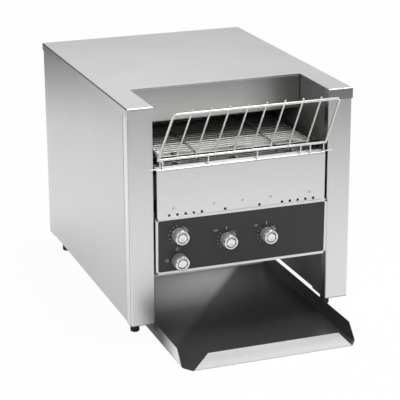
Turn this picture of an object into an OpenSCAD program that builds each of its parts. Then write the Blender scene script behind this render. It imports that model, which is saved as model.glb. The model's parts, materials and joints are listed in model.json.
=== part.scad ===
/* [Case] */
// Width over the top cover
body_w = 467; // [420:1:520]
// Depth of the case between the faces of its front and rear posts
body_d = 611.4; // [560:0.2:670]
// Height of the discharge mouth above the table
mouth_h = 135; // [122:0.5:148]
// Height of the control panel
control_h = 115.5; // [104:0.5:127]
// Height of the front panel above the control panel
front_panel_h = 97.5; // [88:0.5:107]
// Rise of the belt's top above the front panel's lip
belt_rise = 18; // [16:0.5:20]
// Height of the slot between the belt and the hood
slot_h = 35; // [31:1:39]
// Height of the hood panel under the top cover
hood_h = 73; // [66:1:80]
// Height of the case's bottom edge above the table
skirt_z = 33; // [30:0.5:37]
// Thickness of the case sheets
sheet = 1.2; // [1:0.1:1.4]
// Width of a front post's face
post_w = 50; // [45:1:55]
// Depth of a front post's outer return
post_return = 30; // [26:1:36]
// Depth of a front post's inner return
post_inner_return = 18; // [16:1:20]
// Width of the rear posts' strip on the sides
rear_return = 42; // [36:1:48]
// Width of a rear post's face
rear_fold = 30; // [26:1:36]
// Depth of the loading notch in the top cover
notch_d = 142; // [128:1:150]
// Drop of the cover's side and rear flanges
cover_flange = 16; // [12:1:20]
// Drop of the cover's front flanges on the posts
cover_front_flange = 22; // [17:1:26]
// Inside radius of the sheets' bends
bend_r = 1.6; // [1.2:0.1:2]
// Height of the inner walls' bottom edge above the case's bottom edge
wall_rise = 7; // [6:0.5:9]
// Depth by which the rear panel is set in from the rear posts
rear_inset = 11.4; // [9:0.2:14]

/* [Feet] */
// Diameter of a rubber foot
foot_d = 20; // [16:1:24]
// Distance of the front feet behind the posts' front face
foot_front_y = 55; // [44:1:70]
// Distance of the rear feet in front of the case's rear
foot_rear_y = 54.4; // [44:0.2:80]
// Diameter of a foot's stud
stud_d = 8; // [6:1:10]

/* [Front panels] */
// Gap between the front panel and each post
panel_gap = 5.9; // [4:0.1:8]
// Depth of the front panel's rolled lip
lip_d = 19.5; // [17.5:0.5:20]
// Gap between the control panel and each post
control_gap = 1.3; // [0.5:0.1:3]
// Thickness of the control panel
control_t = 1.8; // [1.6:0.1:2.2]
// Margin of the dark overlay at the control panel's sides
overlay_side = 5; // [4:0.5:8]
// Margin of the dark overlay at the control panel's top and bottom
overlay_edge = 5; // [4:0.5:7]
// Corner radius of the dark overlay
overlay_r = 4; // [3:0.5:7]
// Diameter of the front panel's air holes
vent_d = 5.6; // [4.6:0.1:6.2]
// Height of the row of air holes above the control panel
vent_rise = 4.1; // [3.6:0.1:8]
// Spacing of the air holes in a group
vent_pitch = 16.85; // [14:0.05:19]
// Distance of a group's outermost air hole from the front panel's side
vent_inset = 24.5; // [18:0.5:30]
// Distance of the two single air holes from the middle
vent_single_x = 36.2; // [24:0.2:50]

/* [Controls] */
// Distance of the speed and power knobs from the control panel's left side
left_knob_inset = 47.4; // [38:0.2:56]
// Height of the speed knob above the control panel's bottom
speed_rise = 78.6; // [72:0.2:86]
// Height of the power knob above the control panel's bottom
power_rise = 26; // [23:0.2:34]
// Place of the top heat knob from the middle
top_heat_x = -33; // [-42:0.5:-24]
// Place of the bottom heat knob from the middle
bottom_heat_x = 51.9; // [42:0.1:62]
// Height of both heat knobs above the control panel's bottom
heat_rise = 56.8; // [50:0.2:64]
// Diameter of a knob
knob_d = 30; // [27:0.5:33]
// Depth of a knob
knob_h = 23; // [20:0.5:26]
// Diameter of a control's shaft
shaft_d = 6; // [5:0.5:6.5]
// Diameter of a control's threaded bushing
bush_d = 9; // [8.5:0.1:9.8]

/* [Conveyor] */
// Spacing of the belt's bars
belt_pitch = 13.5; // [13:0.1:14]
// Number of pitches between the two axles
run_pitches = 34; // [32:1:34]
// Teeth of the belt sprockets
belt_teeth = 12; // [12:1:12]
// Diameter of the belt wire
wire_d = 2.2; // [1.8:0.1:2.4]
// Distance of the belt's sides from the front posts
belt_inset = 22.3; // [20:0.1:28]
// Distance of the outer hooks from the belt's sides
edge_hook_inset = 5.5; // [4:0.5:10]
// Distance of the inner hooks from the middle
inner_hook_x = 82.7; // [74:0.1:90]
// Distance of the front axle behind the posts' front face
front_axle_y = 51; // [49:0.5:53]
// Diameter of the axles
axle_d = 12; // [10:0.5:13]
// Distance of the outer sprockets from the belt's sides
sprocket_inset = 40; // [36:1:50]
// Thickness of a belt sprocket
sprocket_t = 5; // [4:0.5:6]

/* [Drive] */
// Pitch of the drive chain
chain_pitch = 6.35; // [6.35:0.01:6.35]
// Teeth of the chain wheels
chain_teeth = 16; // [16:4:20]
// Number of chain pitches between the wheels
chain_run = 28; // [27:1:30]
// Drop of the gear motor's shaft below the axle
motor_drop = 138.8; // [128:0.2:145]
// Side of the square gearbox
gearbox_w = 60; // [54:1:64]
// Depth of the gearbox
gearbox_d = 36; // [32:1:40]
// Diameter of the motor
motor_d = 52; // [46:1:56]
// Length of the motor
motor_l = 58; // [50:1:64]

/* [Heating] */
// Diameter of a heating element
element_d = 8; // [6:0.5:9]
// Rise of the upper elements above the slot
element_rise = 15; // [12:1:18]
// Spacing of the elements
element_pitch = 70; // [62:1:72]
// Distance of the first element behind the posts' front face
first_element_y = 190; // [180:1:200]

/* [Wire rack] */
// Diameter of the rack's frame wire
rack_wire = 5; // [4:0.2:5.4]
// Middle radius of the frame wire's bends
rack_bend = 6; // [5:0.5:9]
// Diameter of the rack's rods
rack_rod = 3; // [2.4:0.2:3.4]
// Number of rods between the frame's sides
rack_rods = 8; // [6:1:9]
// Distance of the rack's top corners from the front posts' inner edges
rack_top_inset = 14.9; // [12:0.1:24]
// Distance of the rack's bottom corners from the front posts' inner edges
rack_bottom_inset = 7.6; // [6:0.1:12]
// Height of the rack from its bottom bar to its top bar
rack_h = 107.7; // [97:0.1:118]
// Reach of the rack's top bar in front of the posts
rack_reach = 79.2; // [70:0.2:88]
// Rise of the rack's bottom bar above the front panel's lip
rack_rise = 21; // [19:0.1:23]
// Distance of the rack's bottom bar in front of the posts
rack_bottom_y = 5; // [4.5:0.1:7]

/* [Discharge tray] */
// Gap between the tray and each post
tray_gap = 1.3; // [0.8:0.1:4]
// Reach of the tray in front of the posts
tray_reach = 169.8; // [150:0.2:190]
// Length of the tray behind the posts' front face
tray_back = 330; // [322:1:340]
// Height of the tray's side walls
tray_wall_h = 30; // [25:0.5:32]
// Height of the tray's front lip
tray_lip_h = 32; // [26:1:36]
// Thickness of the tray's sheet
tray_t = 1.2; // [1:0.1:1.4]
// Inside radius of the tray's bends
tray_bend_r = 2; // [1.4:0.1:3]

/* [Cooling fan] */
// Side of the fan's frame
fan_w = 80; // [72:1:88]
// Depth of the fan's frame
fan_d = 25; // [22:1:28]
// Number of blades
fan_blades = 7; // [5:1:9]

/* [Hidden] */

eps = 0.01;          // overlap that makes two shapes of one piece run into each other
past = 1;            // how far a cutter runs past the face it cuts
seat_gap = 0.3;      // gap between two pieces that move or are fitted past each other
running_gap = 0.05;  // radial gap of a shaft in its bore
fine = 48;           // faces of a round of visible size
plain = 24;          // faces of a small round

// heights, stacked from the table up
control_bottom = mouth_h;
control_top = control_bottom + control_h;
front_panel_top = control_top + front_panel_h;
belt_top = front_panel_top + belt_rise;
slot_top = belt_top + slot_h;
body_h = slot_top + hood_h;
under_cover = body_h - sheet;
wall_z = skirt_z + wall_rise;

// the case from its middle and from the front posts' face
face_x = body_w/2 - sheet;                    // outer face of the posts and side panels
post_x = face_x - post_w;                     // inner edge of a front post
wall_x = post_x + sheet;                      // inner face of an inner wall
wall_out_x = wall_x + sheet;                  // outer face of an inner wall
rear_in_y = body_d - rear_inset;              // inner face of the rear panel
front_y = -(body_d + sheet - tray_reach)/2;   // posts' front face in the part's own frame
seam = 2;                                     // open seam between a post and its side panel
lip_w = 12;                                   // width of the posts' hidden lips
joggle = 2;                                   // length over which a post steps in to its lip
side_flange = 10;                             // width of the side panels' edges
rear_panel_x = face_x - sheet - rear_fold - bend_r - seat_gap;
rear_screw_x = face_x - sheet/2 - rear_fold - lip_w/2;
screw_r = 1.8;
screw_hole_r = 2.2;
screw_n = 4;                                  // screws along each rear post
screw_end = 36;                               // distance of a row's end screws from its ends

// feet and base channels
channel_h = 20;
foot_x = (wall_out_x + face_x - sheet)/2;
foot_round = 2.5;
nut_h = 6;

// openings in the rear panel
rear_vent_n = 15;
rear_vent_pitch = 20;
rear_vent_l = 40;
rear_vent_r = 2.5;
rear_vent_drop = 102.8;   // from the cover down to the upper row's lower ends
rear_vent_step = 70;      // from one row to the next
gland_r = 10;
gland_bore_r = 5;
gland_inset = 33.5;       // from the inner wall's face
gland_rise = 52;          // above the inner walls' bottom edge

// front panel and cross rail
vent_group = 5;
front_panel_x = post_x - panel_gap;
vent_z = control_top + vent_rise;
vent_outer_x = front_panel_x - vent_inset;
panel_tuck = 12;          // how far the front panel runs down behind the control panel
lip_down = 9;             // drop of the lip's rear edge
rail_y = 10;
rail_h = 48;
rail_drop = 14;           // from the front panel's lip down to the cross rail
rail_flange = 12;
rear_rail_d = 22;
rear_rail_h = 34;
hood_lip = 14;            // depth of the hood's bottom edge
hood_lip_up = 12;
hood_flange = 16;         // depth of the hood's top flange

// control panel
control_w = 2*(post_x - control_gap);
control_face_y = -sheet - control_t;          // front face of the control panel
control_bend = 3;
control_flange = 18;
overlay_t = 0.4;
overlay_face_y = control_face_y - overlay_t;
left_knob_x = left_knob_inset - control_w/2;
control_places = [[left_knob_x, control_bottom + speed_rise], [left_knob_x, control_bottom + power_rise],
  [top_heat_x, control_bottom + heat_rise], [bottom_heat_x, control_bottom + heat_rise]];

// controls
knob_gap = 0.8;           // air between a knob and the overlay
knob_cap = 4;             // depth of a knob's plain front ring
knob_flutes = 30;
flute_r = 0.9;
shaft_l = knob_h - 4;     // reach of a shaft into its knob
shaft_back = 14;          // reach of a shaft behind the overlay's face
bush_l = 9;
nut_t = 2.4;
nut_r = bush_d/2 + 3.4;
switch_w = 29;
speed_control_w = 26;
switch_d = 22;
tab_w = 4.8;
tab_l = 9;

// wire rack
pin_wire = 2.6;                               // wire of the rack's pins and hooks
rack_top_x = post_x - rack_top_inset;
rack_bottom_x = post_x - rack_bottom_inset;
rack_bottom_z = front_panel_top + rack_rise;
rack_run = rack_reach - rack_bottom_y;
rack_slope_l = norm([rack_run, rack_h]);
rack_slope = atan2(rack_h, -rack_run);        // slope of the rack, from +Y
rack_tip = 4;                                 // reach of the rods past the top bar
rod_gap = 0.02;                               // gap between the rods and the bars they are welded to
rack_pin_in = 3.7;                            // from the rack's bottom corner in to its pin
rack_pin_x = post_x + 11.7;
rack_pin_z = front_panel_top + 3.4;
rack_rest_y = -3.6;
rack_rest_z = front_panel_top + sheet/2 + seat_gap + pin_wire/2;
rack_hook_x = [9.7 - rack_bottom_x, -72, 30, rack_bottom_x - 52.7, rack_bottom_x - 32.2];

// conveyor
bar_x = post_x - belt_inset;                  // half length of a belt bar
bar_z = belt_top - wire_d/2;
pitch_r = belt_pitch/(2*sin(180/belt_teeth));
axle_z = bar_z - pitch_r;
rear_axle_y = front_axle_y + run_pitches*belt_pitch;
belt_hook_gap = 0.3;
belt_hook_t = 1.8;
belt_hook_depth = wire_d/2 + belt_hook_gap + belt_hook_t;   // reach of a hook under its bar
belt_hook_step = wire_d + 0.6;                // side step between neighbouring hooks
belt_hooks = [-bar_x + edge_hook_inset, -inner_hook_x, inner_hook_x, bar_x - edge_hook_inset];
plate_top_z = bar_z - belt_hook_depth - 0.8;
plate_front_y = front_axle_y - 5;
plate_back_y = notch_d + 23;
plate_edge = 10;
sprocket_places = [-bar_x + sprocket_inset, 0, bar_x - sprocket_inset];
sprocket_tip_r = pitch_r - wire_d/2 - seat_gap;   // the teeth end just short of the bars
tooth_gap_r = 3.6;
hub_r = axle_d/2 + 5;
hub_l = 14;
guide_gap = 3;            // from a bar's end to the edge guide
guide_t = 2.5;
guide_bar = 3.6;
guide_clear = 1.3;        // from the front panel's lip to the edge guides' nose
bushing_r = axle_d/2 + 3;
bushing_flange_t = 3;
bushing_flange_r = bushing_r + 4;
axle_end = 6;             // reach of an axle past its bushing

// drive
motor_z = axle_z - motor_drop;
motor_y = front_axle_y + sqrt(pow(chain_run*chain_pitch, 2) - pow(motor_drop, 2));
chain_pitch_r = chain_pitch/(2*sin(180/chain_teeth));
chain_x = wall_out_x + 12;
chain_w = 3.2;
roller_r = 1.65;
link_t = 0.8;
link_r = 2.9;
wheel_t = 2.4;
wheel_tip_r = chain_pitch_r - roller_r - seat_gap;
motor_shaft_r = 4.5;
motor_hole_r = 12;
motor_cap = 6;

// heating
top_element_n = 5;
bottom_element_n = 4;
top_element_z = slot_top + element_rise;
bottom_element_z = axle_z;
insulator_r = element_d/2 + 2;
element_x = wall_out_x + 12;                  // half length of an element's sheath
element_pin_l = 9;
element_pin_r = 2;
reflector_rise = 26;      // from the upper elements to their reflector
reflector_edge = 14;
reflector_drop = 10;      // from the belt's lower run to its reflector
shield_rise = 24;         // from the control panel's top to the heat shield
shield_front_y = 20;
shield_edge = 12;

// shelf, chute and tray
shelf_z = control_bottom + control_t;         // underside of the shelf
shelf_back_y = 300;
shelf_wall_rise = 11;     // rise of the shelf's rear wall above the control panel
chute_bend = 40;
chute_knee_y = tray_back + 10;
chute_knee_rise = 14;
chute_wall_z = chute_bend + 160;              // where the chute's steep part begins
chute_lip = 18;
tray_w = 2*(post_x - tray_gap);
tray_corner_x = 16;       // width of the cut front corners
tray_corner_y = 22.3;     // depth of the cut front corners
tray_wall_slope = 27;     // how far the side walls' front ends lean back
tray_lip_inset = 30;      // how far the lip's ends lean in
tray_lip_lean = 5;        // lean of the front lip, in degrees

// cooling fan and terminal block
fan_x = -60;
fan_z = shelf_z + sheet + 5.4 + fan_w/2;
fan_bore_r = fan_w/2 - 3;
fan_hub_r = 14;
blade_t = 1.6;
blade_w = 20;
blade_angle = 38;
terminal_n = 5;
terminal_pitch = 11;
terminal_x = 40;
terminal_y = 215;
terminal_d = 25;
terminal_h = 18;
terminal_well_r = 3.4;

function unit(v) = v/norm(v);
function reversed(v) = [for (i = [len(v) - 1:-1:0]) v[i]];
function arc_points(c, r, a0, a1, steps = 6) =
  [for (k = [0:steps]) c + r*[cos(a0 + (a1 - a0)*k/steps), sin(a0 + (a1 - a0)*k/steps)]];
function directions(pts) = [for (i = [0:len(pts) - 2]) unit(pts[i + 1] - pts[i])];
// turn at each point of a path, in degrees, with none at its ends
function turns_of(dirs) = [0, for (i = [1:len(dirs) - 1])
  atan2(cross(dirs[i - 1], dirs[i]), dirs[i - 1]*dirs[i]), 0];

// one side of a bent sheet that follows pts, at the distance off to the left of its middle line
function bend_side(pts, t, r, off, steps) =
  let (n = len(pts), mid = r + t/2, dirs = directions(pts), turns = turns_of(dirs))
  [ pts[0] + off*[-dirs[0].y, dirs[0].x],
    for (i = [1:n - 2])
      let (s = sign(turns[i]), d = dirs[i - 1], a = atan2(d.y, d.x),
           centre = pts[i] - d*mid*tan(abs(turns[i])/2) + s*mid*[-d.y, d.x])
      for (k = [0:steps])
        let (b = a - 90*s + turns[i]*k/steps) centre + (mid - s*off)*[cos(b), sin(b)],
    pts[n - 1] + off*[-dirs[n - 2].y, dirs[n - 2].x] ];

// section of a sheet of thickness t, bent to the inside radius r at each corner of its middle line
module bent_sheet(pts, t = sheet, r = bend_r, steps = 4) {
  polygon(concat(bend_side(pts, t, r, t/2, steps), reversed(bend_side(pts, t, r, -t/2, steps))));
}

// places a section drawn in Y and Z, and runs it along X from x0 to x1
module along_x(x0, x1) {
  translate([x0, 0, 0]) rotate([90, 0, 90]) linear_extrude(x1 - x0) children();
}

// places a section drawn in X and Z, and runs it along Y from y0 to y1
module along_y(y0, y1) {
  translate([0, y1, 0]) rotate([90, 0, 0]) linear_extrude(y1 - y0) children();
}

// a cylinder on an axis along X, from x0 to x1
module rod_x(x0, x1, r, y = 0, z = 0, faces = fine) {
  translate([x0, y, z]) rotate([0, 90, 0]) cylinder(h = x1 - x0, r = r, $fn = faces);
}

// a cylinder on an axis along Y, from y0 to y1
module rod_y(y0, y1, r, x = 0, z = 0, faces = fine) {
  translate([x, y0, z]) rotate([-90, 0, 0]) cylinder(h = y1 - y0, r = r, $fn = faces);
}

// a straight wire from a to b
module wire(a, b, r) {
  v = b - a;
  translate(a) rotate([0, acos(v.z/norm(v)), atan2(v.y, v.x)])
    cylinder(h = norm(v), r = r, $fn = plain);
}

// a wire in the XY plane along pts, bent to the middle radius bend at each inner point
module bent_wire(pts, r, bend) {
  dirs = directions(pts);
  turns = turns_of(dirs);
  cut = [for (a = turns) bend*tan(abs(a)/2)];
  for (i = [0:len(dirs) - 1]) {
    a = pts[i] + dirs[i]*cut[i];
    b = pts[i + 1] - dirs[i]*cut[i + 1];
    wire([a.x, a.y, 0], [b.x, b.y, 0], r);
  }
  for (i = [1:len(dirs) - 1]) {
    d = dirs[i - 1];
    s = sign(turns[i]);
    from = atan2(d.y, d.x) - 90*s;
    translate(pts[i] - d*cut[i] + s*bend*[-d.y, d.x]) rotate(s > 0 ? from : from + turns[i])
      rotate_extrude(angle = abs(turns[i]), $fn = fine) translate([bend, 0]) circle(r = r, $fn = plain);
  }
}

module box(low, high) translate(low) cube(high - low);

// from the posts' front face to the part's own frame
module in_case() translate([0, front_y, 0]) children();

module left_of() mirror([1, 0, 0]) children();

module both_sides() {
  children();
  left_of() children();
}

// children at each pitch of a loop round two wheels: z points outward and y to the next place
module along_loop(pitch, teeth, run) {
  r = pitch/(2*sin(180/teeth));
  half = teeth/2;
  for (i = [0:run]) {
    turn = i < run ? 0 : 180/teeth;
    let ($odd = i % 2) translate([0, i*pitch, r]) rotate([-turn, 0, 0]) children();
    let ($odd = (i + run + half) % 2)
      translate([0, (run - i)*pitch, -r]) rotate([180 - turn, 0, 0]) children();
  }
  for (k = [1:half - 1]) {
    let ($odd = (run + k) % 2) translate([0, run*pitch, 0])
      rotate([-k*360/teeth, 0, 0]) translate([0, 0, r]) rotate([-180/teeth, 0, 0]) children();
    let ($odd = k % 2)
      rotate([180 - k*360/teeth, 0, 0]) translate([0, 0, r]) rotate([-180/teeth, 0, 0]) children();
  }
}

// a wheel on an axis along X, with a round gap cut in its edge before each tooth
module toothed_wheel(x, t, teeth, tip_r, gap_at_r, gap_r, hub_r, hub_l, bore_r) {
  translate([x, 0, 0]) rotate([0, 90, 0]) difference() {
    union() {
      translate([0, 0, -t/2]) linear_extrude(t) difference() {
        circle(r = tip_r, $fn = fine);
        for (i = [0:teeth - 1]) rotate(i*360/teeth) translate([gap_at_r, 0]) circle(r = gap_r, $fn = plain);
      }
      translate([0, 0, -hub_l/2]) cylinder(h = hub_l, r = hub_r, $fn = fine);
    }
    translate([0, 0, -hub_l/2 - past]) cylinder(h = hub_l + 2*past, r = bore_r, $fn = fine);
  }
}

/* ---- case ---- */

// outline of the cover seen along one axis, its two top edges rounded
module cover_outline(low, high) {
  r = sheet + bend_r;
  polygon(concat([[low, body_h - cover_front_flange]],
    arc_points([low + r, body_h - r], r, 180, 90), arc_points([high - r, body_h - r], r, 90, 0),
    [[high, body_h - cover_front_flange]]));
}

module top_cover() {
  low_z = body_h - cover_front_flange - past;
  color("gainsboro") in_case() difference() {
    intersection() {
      along_y(-sheet, body_d + sheet) cover_outline(-body_w/2, body_w/2);
      along_x(-body_w/2, body_w/2) cover_outline(-sheet, body_d + sheet);
    }
    box([-face_x, 0, low_z], [face_x, body_d, under_cover]);
    box([-body_w, 0, low_z], [body_w, body_d + sheet + past, body_h - cover_flange]);
    box([-post_x, -sheet - past, low_z], [post_x, notch_d, body_h + past]);
  }
}

// cuts a post's hidden lip back to clear the base channel
module channel_notch(y0, y1) {
  box([face_x - 2*sheet - past, y0, skirt_z - past], [face_x - sheet, y1, wall_z + channel_h + past]);
}

module right_front_post() {
  mid_x = face_x - sheet/2;
  lip_end = post_return + joggle + lip_w;
  color("silver") in_case() difference() {
    translate([0, 0, skirt_z]) linear_extrude(under_cover - skirt_z) bent_sheet([
      [post_x + sheet/2, post_inner_return], [post_x + sheet/2, sheet/2], [mid_x, sheet/2],
      [mid_x, post_return - joggle/2], [mid_x - sheet, post_return + joggle/2], [mid_x - sheet, lip_end]]);
    channel_notch(post_return - joggle, lip_end + past);
  }
}

module left_front_post() left_of() right_front_post();

module right_rear_post() {
  mid_x = face_x - sheet/2;
  strip_y = body_d - rear_return;
  inner_x = mid_x - rear_fold;
  lip_end = strip_y - joggle - lip_w;
  color("silver") in_case() difference() {
    translate([0, 0, skirt_z]) linear_extrude(under_cover - skirt_z) bent_sheet([
      [mid_x - sheet, lip_end], [mid_x - sheet, strip_y - joggle/2], [mid_x, strip_y + joggle/2],
      [mid_x, body_d - sheet/2], [inner_x, body_d - sheet/2],
      [inner_x, rear_in_y - sheet/2], [inner_x - lip_w, rear_in_y - sheet/2]]);
    channel_notch(lip_end - past, strip_y + joggle);
    rear_screw_places() rod_y(-sheet - past, past, screw_hole_r, faces = plain);
  }
}

module left_rear_post() left_of() right_rear_post();

module right_side_panel() {
  mid_x = face_x - sheet/2;
  y0 = post_return + seam;
  y1 = body_d - rear_return - seam;
  color("lightgray") in_case() difference() {
    along_y(y0, y1) bent_sheet([[mid_x - side_flange, skirt_z + sheet/2], [mid_x, skirt_z + sheet/2],
      [mid_x, under_cover - sheet/2], [mid_x - side_flange, under_cover - sheet/2]]);
    for (y = [y0 - past, y1 - lip_w - past])
      box([mid_x - side_flange - past, y, skirt_z - past], [face_x - sheet, y + lip_w + 2*past, body_h]);
  }
}

module left_side_panel() left_of() right_side_panel();

// children at the lower end of each slot of the rear panel
module rear_vent_places() {
  for (i = [0:rear_vent_n - 1], row = [0, 1])
    translate([(i - (rear_vent_n - 1)/2)*rear_vent_pitch, rear_in_y,
      under_cover - rear_vent_drop - row*rear_vent_step]) children();
}

module rear_panel() {
  color("silver") in_case() difference() {
    box([-rear_panel_x, rear_in_y, wall_z], [rear_panel_x, rear_in_y + sheet, under_cover]);
    rear_vent_places() {
      box([-rear_vent_r, -past, 0], [rear_vent_r, sheet + past, rear_vent_l]);
      for (z = [0, rear_vent_l]) rod_y(-past, sheet + past, rear_vent_r, 0, z, plain);
    }
    gland_place() rod_y(-past, sheet + past, gland_r + running_gap);
    rear_screw_places() rod_y(-past, sheet + past, screw_hole_r, faces = plain);
  }
}

// the places of the rear panel's screws, at its inner face
module rear_screw_places() {
  low = wall_z + screw_end;
  step = (under_cover - screw_end - low)/(screw_n - 1);
  for (x = [-rear_screw_x, rear_screw_x], i = [0:screw_n - 1])
    translate([x, rear_in_y, low + i*step]) children();
}

module rear_screws() color("darkgray") in_case() rear_screw_places() {
  rod_y(-sheet - 4, sheet, screw_r, faces = plain);
  rod_y(sheet, sheet + 2, screw_r + 1.8, faces = plain);
}

// the cord's entry, at the rear panel's inner face
module gland_place() translate([gland_inset - wall_x, rear_in_y, wall_z + gland_rise]) children();

module cord_gland() color("dimgray") in_case() gland_place() difference() {
  union() {
    rod_y(-10, sheet + eps, gland_r);
    rod_y(sheet, sheet + 7, gland_r + 3);
    rod_y(-5, 0, gland_r + 3, faces = 6);
  }
  rod_y(-10 - past, sheet + 7 + past, gland_bore_r);
}

module right_base_channel() {
  z = wall_z + sheet/2;
  color("silver") in_case() difference() {
    along_y(sheet + bend_r + seat_gap, rear_in_y - 2) bent_sheet([
      [wall_out_x + sheet/2, wall_z + channel_h], [wall_out_x + sheet/2, z],
      [face_x - 1.5*sheet, z], [face_x - 1.5*sheet, wall_z + channel_h]]);
    foot_places() translate([0, 0, wall_z - past])
      cylinder(h = sheet + 2*past, d = stud_d + 2*seat_gap, $fn = plain);
  }
}

module left_base_channel() left_of() right_base_channel();

// the axes of the two feet on the right
module foot_places() {
  for (y = [foot_front_y, body_d - foot_rear_y]) translate([foot_x, y, 0]) children();
}

module feet() color("#1c1c1c") in_case() both_sides() foot_places() {
  r = foot_d/2;
  rotate_extrude($fn = fine) polygon(concat([[0, skirt_z], [0, 0]],
    arc_points([r - foot_round - 0.8, foot_round], foot_round, -90, 0, 4), [[r, skirt_z]]));
}

module foot_studs() color("silver") in_case() both_sides() foot_places() {
  channel_z = wall_z + sheet;
  translate([0, 0, skirt_z]) cylinder(h = wall_z - skirt_z, r = stud_d/2 + 3, $fn = plain);
  translate([0, 0, skirt_z]) cylinder(h = channel_z + 2*nut_h - skirt_z, r = stud_d/2, $fn = plain);
  translate([0, 0, channel_z]) cylinder(h = nut_h, r = stud_d/2 + 3.2, $fn = 6);
}

module rear_cross_rail() color("silver") in_case() {
  y0 = rear_in_y - rear_rail_d;
  y1 = rear_in_y - sheet/2;
  along_x(-wall_x, wall_x) bent_sheet([[y0, wall_z + rear_rail_h], [y0, wall_z + sheet/2],
    [y1, wall_z + sheet/2], [y1, wall_z + rear_rail_h]]);
}

module inner_wall(driven) {
  color("darkgray") in_case() difference() {
    box([wall_x, sheet + bend_r + seat_gap, wall_z], [wall_out_x, rear_in_y, under_cover]);
    for (y = [front_axle_y, rear_axle_y])
      rod_x(wall_x - past, wall_out_x + past, bushing_r + running_gap, y, axle_z);
    element_places() rod_x(wall_x - past, wall_out_x + past, insulator_r + running_gap, faces = plain);
    if (driven) rod_x(wall_x - past, wall_out_x + past, motor_hole_r, motor_y, motor_z);
  }
}

module right_inner_wall() inner_wall(true);

module left_inner_wall() left_of() inner_wall(false);

module hood_panel() color("silver") in_case()
  along_x(-wall_x, wall_x) bent_sheet([[notch_d + hood_flange, under_cover - sheet/2],
    [notch_d + sheet/2, under_cover - sheet/2], [notch_d + sheet/2, slot_top + sheet/2],
    [notch_d + hood_lip, slot_top + sheet/2], [notch_d + hood_lip, slot_top + hood_lip_up]],
    r = 1.5*bend_r, steps = 6);

/* ---- front ---- */

// the places of the air holes: a group at each end and one hole each side of the middle
module vent_places() both_sides() {
  for (i = [0:vent_group - 1]) translate([vent_outer_x - i*vent_pitch, 0, vent_z]) children();
  translate([vent_single_x, 0, vent_z]) children();
}

module front_panel() {
  mid_y = -sheet/2;
  low_z = control_top - panel_tuck;
  flange_y = rail_y - sheet/2 - seat_gap;
  color("gainsboro") in_case() difference() {
    union() {
      along_x(-front_panel_x, front_panel_x) bent_sheet([[mid_y, low_z], [mid_y, front_panel_top],
        [lip_d - sheet/2, front_panel_top], [lip_d - sheet/2, front_panel_top - lip_down]],
        r = 2.2, steps = 6);
      both_sides() box([front_panel_x - sheet, -eps, low_z],
        [front_panel_x, flange_y, front_panel_top - lip_down - past]);
    }
    vent_places() rod_y(-sheet - past, past, vent_d/2);
  }
}

module front_cross_rail() color("silver") in_case() {
  top = front_panel_top - rail_drop;
  along_x(-post_x, post_x) bent_sheet([[rail_y + rail_flange, top - rail_h], [rail_y, top - rail_h],
    [rail_y, top]]);
}

module control_panel() {
  color("gainsboro") in_case() difference() {
    along_x(-control_w/2, control_w/2) bent_sheet([[control_face_y + control_t/2, control_top],
      [control_face_y + control_t/2, control_bottom + control_t/2],
      [control_flange, control_bottom + control_t/2]], t = control_t, r = control_bend, steps = 6);
    for (p = control_places)
      rod_y(control_face_y - past, control_face_y + control_t + past, bush_d/2 + seat_gap, p.x, p.y, plain);
  }
}

module rounded_rect(x0, z0, x1, z1, r) {
  polygon(concat(arc_points([x1 - r, z1 - r], r, 0, 90), arc_points([x0 + r, z1 - r], r, 90, 180),
    arc_points([x0 + r, z0 + r], r, 180, 270), arc_points([x1 - r, z0 + r], r, 270, 360)));
}

module control_overlay() color("#333333") in_case() difference() {
  along_y(overlay_face_y, control_face_y)
    rounded_rect(-control_w/2 + overlay_side, control_bottom + overlay_edge,
      control_w/2 - overlay_side, control_top - overlay_edge, overlay_r);
  for (p = control_places)
    rod_y(overlay_face_y - past, control_face_y + past, bush_d/2 + 2*seat_gap, p.x, p.y, plain);
}

// a control at its own place: y = 0 at the overlay's face and the shaft's axis along y
module at_control(i) in_case()
  translate([control_places[i].x, overlay_face_y, control_places[i].y]) children();

module knob() {
  r = knob_d/2;
  front = -knob_gap - knob_h;
  groove_r = r - 6.5;
  difference() {
    union() {
      along_y(front + knob_cap, -knob_gap) difference() {
        circle(r = r, $fn = fine);
        for (i = [0:knob_flutes - 1]) rotate(i*360/knob_flutes)
          translate([r + flute_r/2, 0]) circle(r = flute_r, $fn = 16);
      }
      translate([0, front + knob_cap, 0]) rotate([90, 0, 0]) rotate_extrude($fn = fine)
        polygon(concat([[0, -eps], [r - 1.2, -eps], [r - 1.2, 2]], arc_points([r - 3.2, 2], 2, 0, 90, 4),
          [[0, knob_cap]]));
    }
    translate([0, front + past, 0]) rotate([90, 0, 0]) rotate_extrude($fn = fine)
      translate([groove_r, 0]) square([1.6, 2*past]);
    rod_y(-knob_gap - nut_t - 2, past, nut_r + 1);
    rod_y(-knob_gap - shaft_l, past, shaft_d/2 + running_gap, faces = plain);
    box([-0.8, front - past, r - 4.6], [0.8, front + 2, r + past]);
  }
}

module control_shaft() rod_y(-knob_gap - shaft_l + seat_gap, shaft_back, shaft_d/2, faces = plain);

// the fixed half of a control: its body behind the panel and the threaded bushing through it
module control_body(w) {
  y0 = overlay_t + control_t;
  y1 = y0 + switch_d;
  difference() {
    union() {
      box([-w/2, y0, -w/2], [w/2, y1, w/2]);
      rod_y(y0 + 3 - bush_l, y0 + eps, bush_d/2, faces = plain);
      for (x = [-w/4, w/4]) box([x - tab_w/2, y1 - eps, -0.4], [x + tab_w/2, y1 + tab_l, 0.4]);
    }
    rod_y(-bush_l, shaft_back + seat_gap, shaft_d/2 + running_gap, faces = plain);
  }
}

module speed_knob() color("silver") at_control(0) knob();
module power_knob() color("silver") at_control(1) knob();
module top_heat_knob() color("silver") at_control(2) knob();
module bottom_heat_knob() color("silver") at_control(3) knob();

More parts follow.
